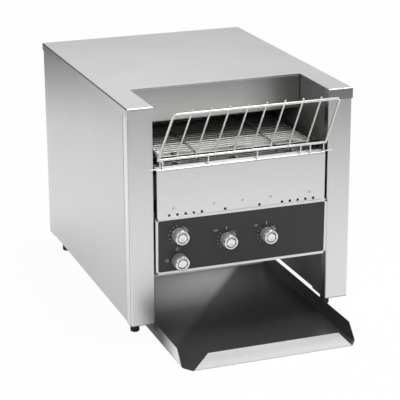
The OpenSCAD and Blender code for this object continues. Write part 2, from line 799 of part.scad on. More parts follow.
module speed_shaft() color("darkgray") at_control(0) control_shaft();
module power_shaft() color("darkgray") at_control(1) control_shaft();
module top_heat_shaft() color("darkgray") at_control(2) control_shaft();
module bottom_heat_shaft() color("darkgray") at_control(3) control_shaft();

module speed_control() color("seagreen") at_control(0) control_body(speed_control_w);
module power_switch() color("#222222") at_control(1) control_body(speed_control_w);
module top_heat_switch() color("#222222") at_control(2) control_body(switch_w);
module bottom_heat_switch() color("#222222") at_control(3) control_body(switch_w);

module control_nuts() color("silver") for (i = [0:3]) at_control(i) difference() {
  rod_y(-nut_t, 0, nut_r, faces = 6);
  rod_y(-nut_t - past, past, bush_d/2 + running_gap, faces = plain);
}

/* ---- wire rack ---- */

// the rack's own plane: x across, y up its slope from the bottom bar, z towards the case
module in_rack_plane() in_case() translate([0, -rack_bottom_y, rack_bottom_z])
  rotate([rack_slope, 0, 0]) children();

// one wire down from the bottom bar, and its end bent outward over the post's face
module rack_pin() {
  x = rack_bottom_x - rack_pin_in;
  r = pin_wire/2;
  wire([x, -rack_bottom_y, rack_bottom_z], [x, -rack_bottom_y, rack_pin_z - r/2], r);
  rod_x(x - r/2, rack_pin_x, r, -rack_bottom_y, rack_pin_z, plain);
}

module wire_rack() {
  r = rack_wire/2;
  rod_z = -(r + rack_rod/2 + rod_gap);
  color("whitesmoke") {
    in_rack_plane() bent_wire([[-rack_bottom_x, 0], [-rack_top_x, rack_slope_l], [rack_top_x, rack_slope_l],
      [rack_bottom_x, 0]], r, rack_bend);
    in_rack_plane() for (i = [1:rack_rods]) {
      f = i/(rack_rods + 1)*2 - 1;
      wire([f*rack_bottom_x, -r/2, rod_z], [f*rack_top_x, rack_slope_l + rack_tip, rod_z], rack_rod/2);
    }
    in_case() {
      rod_x(-rack_bottom_x - r, rack_bottom_x + r, r, -rack_bottom_y, rack_bottom_z, plain);
      both_sides() rack_pin();
      for (x = rack_hook_x) {
        wire([x, -rack_bottom_y + 0.5, rack_bottom_z], [x, rack_rest_y, rack_rest_z - 0.4], pin_wire/2);
        rod_y(rack_rest_y - 0.6, lip_d - 2, pin_wire/2, x, rack_rest_z, plain);
      }
    }
  }
}

/* ---- conveyor ---- */

// side view of a belt hook: from its own bar, under the next one, and up behind it
module hook_profile() {
  inner = wire_d/2 + belt_hook_gap;
  polygon(concat([[0, wire_d/3], [0, -wire_d/3]],
    arc_points([belt_pitch, 0], inner + belt_hook_t, -110, 20, 3),
    reversed(arc_points([belt_pitch, 0], inner, -110, 20, 3))));
}

module belt_strand() {
  rod_x(-bar_x, bar_x, wire_d/2, faces = plain);
  for (x = belt_hooks) let (low = x + ($odd - 0.5)*belt_hook_step - belt_hook_t/2)
    along_x(low, low + belt_hook_t) hook_profile();
}

module conveyor_belt() color("silver") in_case() translate([0, front_axle_y, axle_z])
  along_loop(belt_pitch, belt_teeth, run_pitches) belt_strand();

module belt_support_plate() color("gainsboro") in_case() difference() {
  along_x(-wall_x, wall_x) bent_sheet([[plate_front_y, plate_top_z - sheet/2],
    [plate_back_y, plate_top_z - sheet/2], [plate_back_y, plate_top_z - plate_edge]]);
  for (x = sprocket_places) box([x - sprocket_t/2 - 3, plate_front_y - past, plate_top_z - 3],
    [x + sprocket_t/2 + 3, front_axle_y + pitch_r + 4, plate_top_z + past]);
}

module belt_edge_guides() {
  nose_r = pitch_r + wire_d/2 + 6;
  x0 = bar_x + guide_gap;
  c = [lip_d + guide_clear + nose_r, axle_z];
  color("#2a2a2a") in_case() both_sides() along_x(x0, x0 + guide_t)
    polygon(concat([[plate_back_y, plate_top_z], [plate_back_y, axle_z + nose_r]],
      arc_points(c, nose_r, 90, 200, 10), reversed(arc_points(c, nose_r - guide_bar, 110, 200, 8)),
      [[plate_front_y, plate_top_z]]));
}

module belt_sprockets(y) color("darkgray") in_case() translate([0, y, axle_z])
  for (x = sprocket_places) toothed_wheel(x, sprocket_t, belt_teeth, sprocket_tip_r, sprocket_tip_r,
    tooth_gap_r, hub_r, hub_l, axle_d/2 + running_gap);

module drive_sprockets() belt_sprockets(front_axle_y);
module idler_sprockets() belt_sprockets(rear_axle_y);

module drive_shaft() color("silver") in_case()
  rod_x(-wall_out_x - bushing_flange_t - axle_end, chain_x + axle_end, axle_d/2, front_axle_y, axle_z);

module idler_shaft() color("silver") in_case() {
  half = wall_out_x + bushing_flange_t + axle_end;
  rod_x(-half, half, axle_d/2, rear_axle_y, axle_z);
}

module axle_bushings() color("peru") in_case() both_sides() for (y = [front_axle_y, rear_axle_y])
  difference() {
    union() {
      rod_x(wall_x - 1, wall_out_x + eps, bushing_r, y, axle_z);
      rod_x(wall_out_x, wall_out_x + bushing_flange_t, bushing_flange_r, y, axle_z);
    }
    rod_x(wall_x - 1 - past, wall_out_x + bushing_flange_t + past, axle_d/2 + running_gap, y, axle_z);
  }

/* ---- drive ---- */

// the chain's own frame: at the drive axle, y towards the motor
module in_chain() in_case() translate([0, front_axle_y, axle_z])
  rotate([-atan2(motor_drop, motor_y - front_axle_y), 0, 0]) children();

module chain_wheel(bore_r) toothed_wheel(chain_x, wheel_t, chain_teeth, wheel_tip_r, wheel_tip_r, roller_r,
  chain_pitch_r - 6, 8, bore_r);

module drive_chain_wheel() color("dimgray") in_chain() chain_wheel(axle_d/2 + running_gap);

module motor_chain_wheel() color("dimgray") in_chain() translate([0, chain_run*chain_pitch, 0]) {
  chain_wheel(motor_shaft_r);
  rod_x(wall_x - 8, chain_x + 5, motor_shaft_r, faces = plain);
}

// outline round the chain's loop at the distance off from its pitch line
function chain_outline(off) = concat(
  arc_points([0, 0], chain_pitch_r + off, 270, 90, 16),
  arc_points([chain_run*chain_pitch, 0], chain_pitch_r + off, 90, -90, 16));

module drive_chain() color("dimgray") in_chain() {
  for (x = [chain_x - chain_w/2 - link_t, chain_x + chain_w/2]) along_x(x, x + link_t) difference() {
    polygon(chain_outline(link_r));
    polygon(chain_outline(-link_r));
  }
  along_loop(chain_pitch, chain_teeth, chain_run)
    rod_x(chain_x - chain_w/2 - link_t/2, chain_x + chain_w/2 + link_t/2, roller_r, faces = 16);
}

module gear_motor() color("#3a3a3a") in_case() translate([0, motor_y, motor_z]) difference() {
  gearbox_x = wall_x - gearbox_d;
  motor_x = gearbox_x - motor_l;
  union() {
    box([gearbox_x, -gearbox_w/2, -gearbox_w/2], [wall_x, gearbox_w/2, gearbox_w/2]);
    rod_x(motor_x, gearbox_x + eps, motor_d/2);
    rod_x(motor_x - motor_cap, motor_x + eps, motor_d/4);
  }
  rod_x(wall_x - 9, wall_x + past, motor_shaft_r + running_gap, faces = plain);
}

/* ---- heating ---- */

module element_row(n, z) {
  for (i = [0:n - 1]) translate([0, first_element_y + i*element_pitch, z]) children();
}

module element_places() {
  element_row(top_element_n, top_element_z) children();
  element_row(bottom_element_n, bottom_element_z) children();
}

module element() {
  rod_x(-element_x, element_x, element_d/2, faces = plain);
  rod_x(-element_x - element_pin_l, element_x + element_pin_l, element_pin_r, faces = plain);
}

module top_elements() color("dimgray") in_case() element_row(top_element_n, top_element_z) element();
module bottom_elements() color("dimgray") in_case()
  element_row(bottom_element_n, bottom_element_z) element();

module element_insulators() color("ivory") in_case() both_sides() element_places() difference() {
  union() {
    rod_x(wall_x - 3, wall_out_x + eps, insulator_r, faces = plain);
    rod_x(wall_out_x, wall_out_x + 4, insulator_r + 3, faces = plain);
  }
  rod_x(wall_x - 3 - past, wall_out_x + 4 + past, element_d/2 + running_gap, faces = plain);
}

module top_reflector() color("gainsboro") in_case() {
  z = top_element_z + reflector_rise;
  y0 = notch_d + 24;
  along_x(-wall_x, wall_x) bent_sheet([[y0, z - reflector_edge], [y0, z],
    [rear_axle_y - 10, z], [rear_axle_y + 20, z - reflector_edge]]);
}

module bottom_reflector() color("gainsboro") in_case() {
  z = axle_z - pitch_r - belt_hook_depth - reflector_drop;
  y0 = front_axle_y + 40;
  y1 = rear_axle_y + 10;
  along_x(-wall_x, wall_x) bent_sheet([[y0, z + 6], [y0, z], [y1, z], [y1, z - 12]]);
}

module heat_shield() color("silver") in_case() {
  z = control_top + shield_rise;
  y1 = shelf_back_y + 12;
  along_x(-wall_x, wall_x)
    bent_sheet([[shield_front_y, z - shield_edge], [shield_front_y, z], [y1, z], [y1, z - shield_edge]]);
}

/* ---- shelf, chute and tray ---- */

module control_shelf() color("silver") in_case() difference() {
  z = shelf_z + sheet/2;
  wall_top = control_top + shelf_wall_rise;
  along_x(-wall_x, wall_x) bent_sheet([[2, z], [shelf_back_y, z], [shelf_back_y, wall_top],
    [shelf_back_y - 12, wall_top]]);
  rod_y(shelf_back_y - 2*sheet, shelf_back_y + 2*sheet, fan_bore_r, fan_x, fan_z);
  both_sides() box([post_x - seat_gap, 0, shelf_z - past],
    [wall_x + past, post_inner_return + seat_gap, shelf_z + sheet + past]);
}

module toast_chute() {
  lip_z = tray_t + seat_gap + sheet/2;
  color("gainsboro") in_case() difference() {
    along_x(-wall_x, wall_x) bent_sheet([[rear_in_y - sheet/2, axle_z - 14],
      [rear_in_y - sheet/2, chute_wall_z], [chute_knee_y, lip_z + chute_knee_rise],
      [tray_back - chute_lip, lip_z]], r = chute_bend, steps = 8);
    both_sides() box([tray_w/2 - 4, 0, -past], [wall_x + past, rear_in_y, tray_wall_h + 3]);
  }
}

module discharge_tray() {
  half = tray_w/2;
  mid = tray_t/2;
  front = -tray_reach;
  shoulder = front + tray_corner_y;
  flat = half - tray_t - tray_bend_r;          // half width of the flat floor
  lip_x = half - tray_corner_x;
  lean = tray_lip_h*tan(tray_lip_lean);
  rise = tray_t + tray_bend_r;
  color("#3c3c3c") in_case() {
    // floor and side walls, with the walls' front ends cut back
    intersection() {
      along_y(shoulder, tray_back) bent_sheet([[-half + mid, tray_wall_h], [-half + mid, mid],
        [half - mid, mid], [half - mid, tray_wall_h]], t = tray_t, r = tray_bend_r);
      along_x(-half, half) polygon([[shoulder, 0], [shoulder, tray_t],
        [shoulder + tray_wall_slope, tray_wall_h], [tray_back, tray_wall_h], [tray_back, 0]]);
    }
    // floor between the walls and the lip, with its corners cut
    linear_extrude(tray_t) polygon([[-flat, shoulder + rise], [-flat, shoulder], [-lip_x, front + rise],
      [lip_x, front + rise], [flat, shoulder], [flat, shoulder + rise]]);
    // front lip, its ends leaning in
    intersection() {
      along_x(-lip_x, lip_x) bent_sheet([[front + 2*rise, mid], [front + mid, mid],
        [front + mid + lean, tray_lip_h]], t = tray_t, r = tray_bend_r);
      along_y(front - past, front + 2*rise + past) polygon([[-lip_x, -past], [-lip_x, rise],
        [tray_lip_inset - lip_x, tray_lip_h + past], [lip_x - tray_lip_inset, tray_lip_h + past],
        [lip_x, rise], [lip_x, -past]]);
    }
  }
}

/* ---- cooling fan and electrics ---- */

// the fan's own frame: at its middle on the face of the shelf's rear wall
module in_fan() in_case() translate([fan_x, shelf_back_y - sheet/2, fan_z]) children();

module fan_frame() color("#222222") in_fan() {
  difference() {
    box([-fan_w/2, -fan_d, -fan_w/2], [fan_w/2, 0, fan_w/2]);
    rod_y(-fan_d - past, past, fan_bore_r);
  }
  for (a = [45:90:315]) rotate([0, a, 0]) box([fan_hub_r - 3, -3, -2], [fan_bore_r + 1, 0, 2]);
  difference() {
    rod_y(-4, 0, fan_hub_r - 1);
    rod_y(-4 - past, -1.5, 2 + running_gap, faces = plain);
  }
}

module fan_rotor() color("#2c2c2c") in_fan() {
  rod_y(-fan_d + 3, -5, fan_hub_r);
  rod_y(-5 - eps, -2, 2, faces = plain);
  for (i = [0:fan_blades - 1]) rotate([0, i*360/fan_blades, 0])
    translate([(fan_hub_r + fan_bore_r)/2 - 2, -fan_d/2 - 1, 0]) rotate([blade_angle, 0, 0])
      cube([fan_bore_r - fan_hub_r, blade_t, blade_w], center = true);
}

module terminal_block() color("ivory") in_case() difference() {
  z = shelf_z + sheet;
  box([terminal_x, terminal_y, z], [terminal_x + terminal_n*terminal_pitch, terminal_y + terminal_d,
    z + terminal_h]);
  for (i = [0:terminal_n - 1], y = [0.25, 0.75])
    translate([terminal_x + (i + 0.5)*terminal_pitch, terminal_y + y*terminal_d, z + terminal_h/3])
      cylinder(h = terminal_h, r = terminal_well_r, $fn = plain);
}

top_cover();
left_front_post();
right_front_post();
left_side_panel();
right_side_panel();
left_rear_post();
right_rear_post();
rear_panel();
left_base_channel();
right_base_channel();
rear_cross_rail();
left_inner_wall();
right_inner_wall();
hood_panel();
front_panel();
front_cross_rail();
control_panel();
control_overlay();
speed_knob();
power_knob();
top_heat_knob();
bottom_heat_knob();
speed_shaft();
power_shaft();
top_heat_shaft();
bottom_heat_shaft();
speed_control();
power_switch();
top_heat_switch();
bottom_heat_switch();
control_nuts();
wire_rack();
conveyor_belt();
belt_support_plate();
belt_edge_guides();
drive_shaft();
drive_sprockets();
idler_shaft();
idler_sprockets();
axle_bushings();
drive_chain_wheel();
motor_chain_wheel();
drive_chain();
gear_motor();
top_elements();
bottom_elements();
element_insulators();
top_reflector();
bottom_reflector();
heat_shield();
control_shelf();
toast_chute();
discharge_tray();
fan_frame();
fan_rotor();
terminal_block();
cord_gland();
feet();
foot_studs();
rear_screws();
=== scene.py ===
import json
import math

import bmesh
import bpy
from mathutils import Matrix, Vector

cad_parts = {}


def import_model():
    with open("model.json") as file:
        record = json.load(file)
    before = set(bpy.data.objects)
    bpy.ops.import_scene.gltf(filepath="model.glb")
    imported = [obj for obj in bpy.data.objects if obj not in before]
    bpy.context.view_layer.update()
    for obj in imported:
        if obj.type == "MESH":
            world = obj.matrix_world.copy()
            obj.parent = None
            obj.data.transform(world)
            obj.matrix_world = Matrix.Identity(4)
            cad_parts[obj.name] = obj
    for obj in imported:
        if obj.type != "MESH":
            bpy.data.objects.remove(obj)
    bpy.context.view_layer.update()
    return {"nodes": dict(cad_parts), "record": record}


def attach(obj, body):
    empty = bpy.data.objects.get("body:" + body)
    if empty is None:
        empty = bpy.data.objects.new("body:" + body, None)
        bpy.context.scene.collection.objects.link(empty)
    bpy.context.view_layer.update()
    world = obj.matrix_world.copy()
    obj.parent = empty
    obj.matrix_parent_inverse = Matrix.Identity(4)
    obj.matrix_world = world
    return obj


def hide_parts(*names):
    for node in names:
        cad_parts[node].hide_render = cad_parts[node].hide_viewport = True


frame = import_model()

nodes = frame["nodes"]

# Pieces are drawn in millimetres from the front posts' face and the table,
# then set into the frame, which is in metres from the middle of the part.
FRONT_FACE = -221.4
SHEET = 1.2                # thickness of the sheets
POST_X = 182.3             # inner face of a front post
WALL_X = 183.5             # inner face of an inner wall
SIDE_X = 232.3             # outer face of the posts and sides
COVER_X = 233.5            # outer face of the cover
COVER_TOP = 474.0
NOTCH_BACK = 138.0         # rear edge of the cover's loading notch
HOOD_BOTTOM = 402.0
FRONT_PANEL_TOP = 348.0
OVERLAY_Y = -3.4           # front of the dark overlay
TUNNEL_Y = 108.0           # where the hood's painted shadow starts on the belt and plate


def in_frame(x, y, z):
    return Vector((x, y + FRONT_FACE, z)) / 1000.0


# ---- shader steps ----

def add(made, kind, **settings):
    node = made.node_tree.nodes.new(kind)
    for name, value in settings.items():
        setattr(node, name, value)
    return node


def join(made, output, socket):
    made.node_tree.links.new(output, socket)


def shader_of(made):
    return made.node_tree.nodes["Principled BSDF"]


def worked_out(made, operation, *values):
    """The result of a sum on sockets and plain numbers."""
    node = add(made, "ShaderNodeMath", operation=operation)
    for socket, value in zip(node.inputs, values):
        if isinstance(value, float):
            socket.default_value = value
        else:
            join(made, value, socket)
    return node.outputs[0]


def times(made, first, *others):
    for other in others:
        first = worked_out(made, "MULTIPLY", first, other)
    return first


def size_of(made, value):
    return worked_out(made, "ABSOLUTE", value)


def away_from(made, value, middle):
    return size_of(made, worked_out(made, "SUBTRACT", value, middle))


def between(made, factor, low, high, start=0.3, end=0.7, shape="LINEAR"):
    """A number that goes from low to high as the factor goes from start to end."""
    ranged = add(made, "ShaderNodeMapRange", interpolation_type=shape)
    ranged.inputs["From Min"].default_value = start
    ranged.inputs["From Max"].default_value = end
    ranged.inputs["To Min"].default_value = low
    ranged.inputs["To Max"].default_value = high
    join(made, factor, ranged.inputs["Value"])
    return ranged.outputs["Result"]


def beyond(made, value, start, end):
    """A mask that is 0 up to start and 1 from end on."""
    return between(made, value, 0.0, 1.0, start, end)


def before(made, value, start, end):
    """A mask that is 1 up to start and 0 from end on."""
    return between(made, value, 1.0, 0.0, start, end)


def toned(made, level, *masks):
    """A factor of level where every mask is 1, and of 1 where any mask is 0."""
    return between(made, times(made, *masks), 1.0, level, 0.0, 1.0)


def object_place(made, scale, shift=(0, 0, 0)):
    """Object coordinates, scaled to waves or lengths per metre, then shifted."""
    coordinates = add(made, "ShaderNodeTexCoord")
    mapping = add(made, "ShaderNodeMapping")
    mapping.inputs["Scale"].default_value = scale
    mapping.inputs["Location"].default_value = shift
    join(made, coordinates.outputs["Object"], mapping.inputs["Vector"])
    return mapping.outputs["Vector"]


def measured_place(made):
    """The place on the part in millimetres, drawn as the pieces are."""
    return object_place(made, (1000.0, 1000.0, 1000.0), (0.0, -FRONT_FACE, 0.0))


def measured(made):
    """Millimetres to the right, back from the posts' face, and up from the table."""
    parts = add(made, "ShaderNodeSeparateXYZ")
    join(made, measured_place(made), parts.inputs[0])
    return parts.outputs


def grain(made, scale, detail=3.0):
    """Noise that can be drawn out along one direction."""
    noise = add(made, "ShaderNodeTexNoise")
    noise.inputs["Scale"].default_value = 1.0
    noise.inputs["Detail"].default_value = detail
    noise.inputs["Roughness"].default_value = 0.6
    join(made, object_place(made, scale), noise.inputs["Vector"])
    return noise.outputs["Fac"]


def tint(made, colour, *factors):
    """Base colour, made lighter or darker by each factor in turn."""
    mix = add(made, "ShaderNodeVectorMath", operation="SCALE")
    mix.inputs[0].default_value = colour
    join(made, times(made, *factors), mix.inputs["Scale"])
    join(made, mix.outputs["Vector"], shader_of(made).inputs["Base Color"])


def relief(made, factor, depth):
    """Bumps of a depth in millimetres."""
    bump = add(made, "ShaderNodeBump")
    bump.inputs["Strength"].default_value = 1.0
    bump.inputs["Distance"].default_value = depth / 1000.0
    join(made, factor, bump.inputs["Height"])
    join(made, bump.outputs["Normal"], shader_of(made).inputs["Normal"])


# ---- painted shade, highlights and reflections by place on the part, and darker marks ----

def painted_shade_cover_edges(made):
    """Painted shade on the cover's side bends, standing in for their dark reflection."""
    x, y, z = measured(made)
    return toned(made, 0.42,
                 beyond(made, size_of(made, x), COVER_X - 1.6, COVER_X - 0.5),
                 beyond(made, z, COVER_TOP - 3.0, COVER_TOP - 1.6))


def painted_highlight_cover_lip(made):
    """Painted highlight on the cover's bend along the loading mouth."""
    x, y, z = measured(made)
    return toned(made, 1.3,
                 before(made, y, NOTCH_BACK + 7.0, NOTCH_BACK + 8.5),
                 beyond(made, y, NOTCH_BACK + 1.0, NOTCH_BACK + 2.5),
                 before(made, size_of(made, x), WALL_X - 1.5, WALL_X + 0.5))


def painted_shade_right_flange(made):
    """Painted shade on the cover's front flange on the right, standing in for the dark reflection
    there.
    """
    x, y, z = measured(made)
    return toned(made, 0.5,
                 beyond(made, x, POST_X - 1.3, POST_X - 0.3),
                 before(made, y, -0.8, -0.3),
                 before(made, z, COVER_TOP - 2.6, COVER_TOP - 1.4))


def painted_shade_cover_top(made):
    """Painted shade on the cover's top, a little darker to the back."""
    x, y, z = measured(made)
    return between(made, y, 1.04, 0.9, 260.0, 600.0)


def post_painted_shade_and_highlight(made):
    """Painted shade on the posts' inner returns, lower ends and outer bends, and a painted
    highlight on their outer edges.
    """
    x, y, z = measured(made)
    inside = before(made, size_of(made, x), WALL_X + 0.1, WALL_X + 0.7)
    behind = beyond(made, y, 0.8, 2.4)
    outside = beyond(made, size_of(made, x), SIDE_X - 0.7, SIDE_X - 0.1)
    foot = between(made, z, 0.3, 1.0, 33.9, 35.0)
    highlit_strip = (beyond(made, y, 4.0, 7.0), before(made, y, 24.0, 27.0))
    bend = (before(made, y, 3.4, 4.4), beyond(made, y, 1.6, 2.4))
    return times(made, toned(made, 0.6, inside, behind), foot,
                 toned(made, 1.26, outside, *highlit_strip), toned(made, 0.45, outside, *bend))


def painted_shade_behind_panel(made):
    """Painted shade on the sheets close behind the front panel, near its front and high up."""
    x, y, z = measured(made)
    return toned(made, 0.1, before(made, y, 60.0, 90.0), beyond(made, z, 230.0, 250.0))


def hood_shading(made):
    """Painted shade and highlight on the hood: darker to the top, the right and its right corner,
    lighter along its lower bend.
    """
    x, y, z = measured(made)
    height = between(made, z, 1.2, 0.92, HOOD_BOTTOM + 22.0, HOOD_BOTTOM + 68.0)
    side = between(made, x, 1.0, 0.58, 55.0, 160.0)
    bend = between(made, z, 1.3, 1.0, HOOD_BOTTOM + 0.6, HOOD_BOTTOM + 2.4)
    corner = between(made, x, 1.0, 0.2, WALL_X - 2.5, WALL_X - 1.3)
    return times(made, height, side, bend, corner)


HOOK_X = 82.7              # the belt's inner columns of hooks


def belt_shade_and_hook_tone(made):
    """The belt's wires: bright at the mouth, with painted shade in the tunnel and on the lower
    run, and darker at the inner columns of hooks.
    """
    x, y, z = measured(made)
    inner = between(made, y, 0.84, 0.26, TUNNEL_Y - 4.0, TUNNEL_Y + 4.0)
    hooks = between(made, away_from(made, size_of(made, x), HOOK_X), 0.3, 1.0, 3.2, 3.9)
    below = between(made, z, 0.3, 1.0, 357.0, 361.0)
    return times(made, inner, hooks, below)


def painted_hood_shadow(made):
    """Painted shadow of the hood on the plate, behind the loading mouth."""
    x, y, z = measured(made)
    return between(made, y, 1.0, 0.1, TUNNEL_Y - 0.5, TUNNEL_Y + 2.5)


def painted_shade_tray_walls(made):
    """Painted shade on the outside of the tray's walls, darker toward the back, standing in for
    their dark reflection under the body.
    """
    x, y, z = measured(made)
    return toned(made, 0.12, beyond(made, size_of(made, x), TRAY_HALF - 1.0, TRAY_HALF - 0.4),
                 beyond(made, y, -115.0, -35.0))


def painted_shade_tray_lip(made):
    """Painted shade on the front of the tray's lip, darker to its lower part and along its lower
    bend.
    """
    x, y, z = measured(made)
    darker_low = toned(made, 0.88, before(made, y, -160.0, -150.0), before(made, z, 3.0, 27.0))
    bend = between(made, z, 0.45, 1.0, 1.6, 2.6)
    return times(made, darker_low, bend)


def painted_light_on_coating(made):
    """Painted light on the tray's coating: lighter to the back and the left past a slanting edge,
    and a little lighter at the front.
    """
    x, y, z = measured(made)
    slant = add(made, "ShaderNodeVectorMath", operation="DOT_PRODUCT")
    join(made, measured_place(made), slant.inputs[0])
    slant.inputs[1].default_value = (-0.8, 0.6, 0.0)
    lit_zone = toned(made, 6.0, beyond(made, slant.outputs["Value"], 90.24, 106.24),
                   between(made, y, 0.16, 1.0, 120.0, 290.0))
    front = between(made, y, 1.15, 1.0, -90.0, -10.0)
    return times(made, lit_zone, front)


WELDS_X = (0.0, 59.7, 143.4)
WELDS_Z = 268.5


def weld_marks(made):
    """Faint darker spots over the welds behind the front panel."""
    x, y, z = measured(made)
    place = add(made, "ShaderNodeCombineXYZ")
    join(made, size_of(made, x), place.inputs["X"])
    join(made, z, place.inputs["Z"])
    spots = []
    for across in WELDS_X:
        reach = add(made, "ShaderNodeVectorMath", operation="DISTANCE")
        join(made, place.outputs[0], reach.inputs[0])
        reach.inputs[1].default_value = (across, 0.0, WELDS_Z)
        spots.append(between(made, reach.outputs["Value"], 0.62, 1.0, 1.8, 3.4))
    return times(made, *spots)


# ---- finishes ----

def finish(name, colour, metallic, roughness):
    made = bpy.data.materials.new(name)
    made.use_nodes = True
    shader = shader_of(made)
    shader.inputs["Base Color"].default_value = (*colour, 1.0)
    shader.inputs["Metallic"].default_value = metallic
    shader.inputs["Roughness"].default_value = roughness
    made.diffuse_color = (*colour, 1.0)
    return made


def uneven_gloss(made, factor, roughness):
    """Roughness that wanders by a little, so the surface doesn't shine evenly."""
    join(made, between(made, factor, roughness - 0.02, roughness + 0.02),
         shader_of(made).inputs["Roughness"])


def brushed(name, colour, along, metallic=1.0, roughness=0.3, spread=0.03, cloud=0.015, shade_and_marks=()):
    """Stainless sheet with its brushing drawn out along X, Y or Z."""
    made = finish(name, colour, metallic, roughness)
    fine = [1100.0, 1100.0, 1100.0]
    broad = [240.0, 240.0, 240.0]
    fine["XYZ".index(along)] = 14.0
    broad["XYZ".index(along)] = 3.0
    hair = grain(made, fine, detail=4.0)
    band = grain(made, broad, detail=2.0)
    mottle = grain(made, (9.0, 9.0, 9.0), detail=2.0)
    tint(made, colour, between(made, hair, 1 - spread, 1 + spread),
         between(made, band, 1 - spread / 4, 1 + spread / 4),
         between(made, mottle, 1 - cloud, 1 + cloud), *[place(made) for place in shade_and_marks])
    uneven_gloss(made, mottle, roughness)
    relief(made, hair, 0.002)
    return made


def speckled(name, colour, metallic, roughness, size, spread=0.08, depth=0.0, shade_and_marks=()):
    """A cast, moulded, plated or coated surface with a fine even mottle."""
    made = finish(name, colour, metallic, roughness)
    spots = grain(made, (1000.0 / size,) * 3)
    soft = grain(made, (60.0, 60.0, 60.0), detail=2.0)
    tint(made, colour, between(made, spots, 1 - spread, 1 + spread),
         between(made, soft, 1 - spread / 2, 1 + spread / 2), *[place(made) for place in shade_and_marks])
    uneven_gloss(made, soft, roughness)
    if depth:
        relief(made, spots, depth)
    return made


TRAY_HALF = 181.0          # outside of the tray's walls

cover_steel = brushed("brushed_cover", (0.77, 0.775, 0.78), "Y",
                      shade_and_marks=(painted_shade_cover_edges, painted_highlight_cover_lip, painted_shade_right_flange, painted_shade_cover_top))
post_steel = brushed("brushed_posts", (0.78, 0.78, 0.775), "Z", shade_and_marks=(post_painted_shade_and_highlight,))
side_steel = brushed("brushed_sides", (0.77, 0.77, 0.765), "Z")
rear_steel = brushed("brushed_rear", (0.66, 0.66, 0.655), "X", roughness=0.34)
# The inner walls' dark colour is painted shade.
inner_wall_steel = brushed("shade_darkened_walls", (0.28, 0.28, 0.272), "Y", metallic=0.6,
                           roughness=0.4, cloud=0.08)
hood_steel = brushed("brushed_hood", (0.61, 0.615, 0.605), "X", spread=0.06, cloud=0.03,
                     shade_and_marks=(hood_shading,))
front_panel_steel = brushed("brushed_front", (0.82, 0.825, 0.82), "X", shade_and_marks=(weld_marks,))
bezel_steel = brushed("brushed_bezel", (0.80, 0.80, 0.80), "X", spread=0.02)
plate_steel = brushed("belt_plate_sheet", (0.36, 0.36, 0.35), "Y", metallic=0.35,
                      roughness=0.45, shade_and_marks=(painted_hood_shadow,))
reflector_steel = brushed("reflector_sheet", (0.58, 0.57, 0.55), "X", cloud=0.12)
chute_steel = brushed("chute_sheet", (0.42, 0.42, 0.415), "Y", metallic=0.5, roughness=0.4,
                      cloud=0.04)
tray_steel = brushed("tray_outer_steel", (0.97, 0.97, 0.965), "X", metallic=0.6,
                     shade_and_marks=(painted_shade_tray_walls, painted_shade_tray_lip))

# Name, colour, metallic, roughness, and the mottle's size in millimetres.
# The lip's bright, mostly plain finish is a painted highlight.
lip_highlight_steel = speckled("painted_highlight_lip", (0.95, 0.95, 0.945), 0.2, 0.35, 2.0, spread=0.03)
galvanised_steel = speckled("galvanised_sheet", (0.40, 0.41, 0.42), 1.0, 0.45, 9.0,
                            spread=0.12, shade_and_marks=(painted_shade_behind_panel,))
belt_wire = speckled("belt_wire", (0.62, 0.61, 0.58), 0.7, 0.3, 3.0, spread=0.15,
                     shade_and_marks=(belt_shade_and_hook_tone,))
rack_wire = speckled("polished_wire", (0.9, 0.89, 0.86), 0.6, 0.22, 4.0, spread=0.04)
shaft_steel = speckled("turned_steel", (0.13, 0.13, 0.13), 1.0, 0.42, 1.5)
sprocket_steel = speckled("machined_steel", (0.2, 0.2, 0.2), 1.0, 0.38, 2.0, spread=0.15)
chain_steel = speckled("oiled_chain", (0.16, 0.16, 0.16), 1.0, 0.35, 2.0, spread=0.2)
bushing_bronze = speckled("sintered_bronze", (0.22, 0.16, 0.1), 1.0, 0.45, 0.6, depth=0.02)
nut_metal = speckled("plated_nut", (0.66, 0.66, 0.66), 1.0, 0.25, 2.0)
screw_steel = speckled("plated_screw", (0.58, 0.58, 0.58), 1.0, 0.3, 1.5)
element_sheath = speckled("heat_dark_sheath", (0.13, 0.12, 0.11), 1.0, 0.55, 4.0,
                          spread=0.25, depth=0.02)
ceramic = speckled("unglazed_ceramic", (0.78, 0.74, 0.66), 0.0, 0.7, 0.8, depth=0.03)
overlay_film = speckled("overlay_film", (0.036, 0.037, 0.037), 0.0, 0.45, 0.5,
                        spread=0.06, depth=0.006)
control_plastic = speckled("black_moulding", (0.03, 0.03, 0.03), 0.0, 0.5, 1.0, depth=0.02)
board_plastic = speckled("control_board", (0.04, 0.16, 0.08), 0.0, 0.45, 2.0)
guide_black = speckled("guide_black", (0.02, 0.02, 0.02), 0.0, 0.5, 1.0, depth=0.02)
motor_black = speckled("motor_enamel", (0.03, 0.03, 0.032), 0.0, 0.35, 1.2, depth=0.02)
fan_plastic = speckled("fan_moulding", (0.02, 0.02, 0.02), 0.0, 0.42, 1.0, depth=0.01)
terminal_plastic = speckled("terminal_moulding", (0.72, 0.7, 0.62), 0.0, 0.5, 1.0, depth=0.02)
gland_plastic = speckled("gland_nylon", (0.03, 0.03, 0.03), 0.0, 0.45, 0.8, depth=0.02)
foot_rubber = speckled("foot_rubber", (0.018, 0.018, 0.018), 0.0, 0.75, 0.6, depth=0.05)
coated_black = speckled("nonstick_black", (0.045, 0.045, 0.045), 0.0, 0.32, 0.8,
                        spread=0.05, shade_and_marks=(painted_light_on_coating,))
knob_face = speckled("turned_knob_face", (0.86, 0.86, 0.86), 1.0, 0.24, 1.5, spread=0.03)
knob_skirt = speckled("knurled_skirt", (0.52, 0.52, 0.515), 0.45, 0.34, 1.5, spread=0.1)
knob_groove = speckled("knob_groove_grey", (0.11, 0.11, 0.11), 0.3, 0.45, 1.0)
mark_ink = speckled("grey_print", (0.5, 0.5, 0.5), 0.0, 0.5, 0.6)

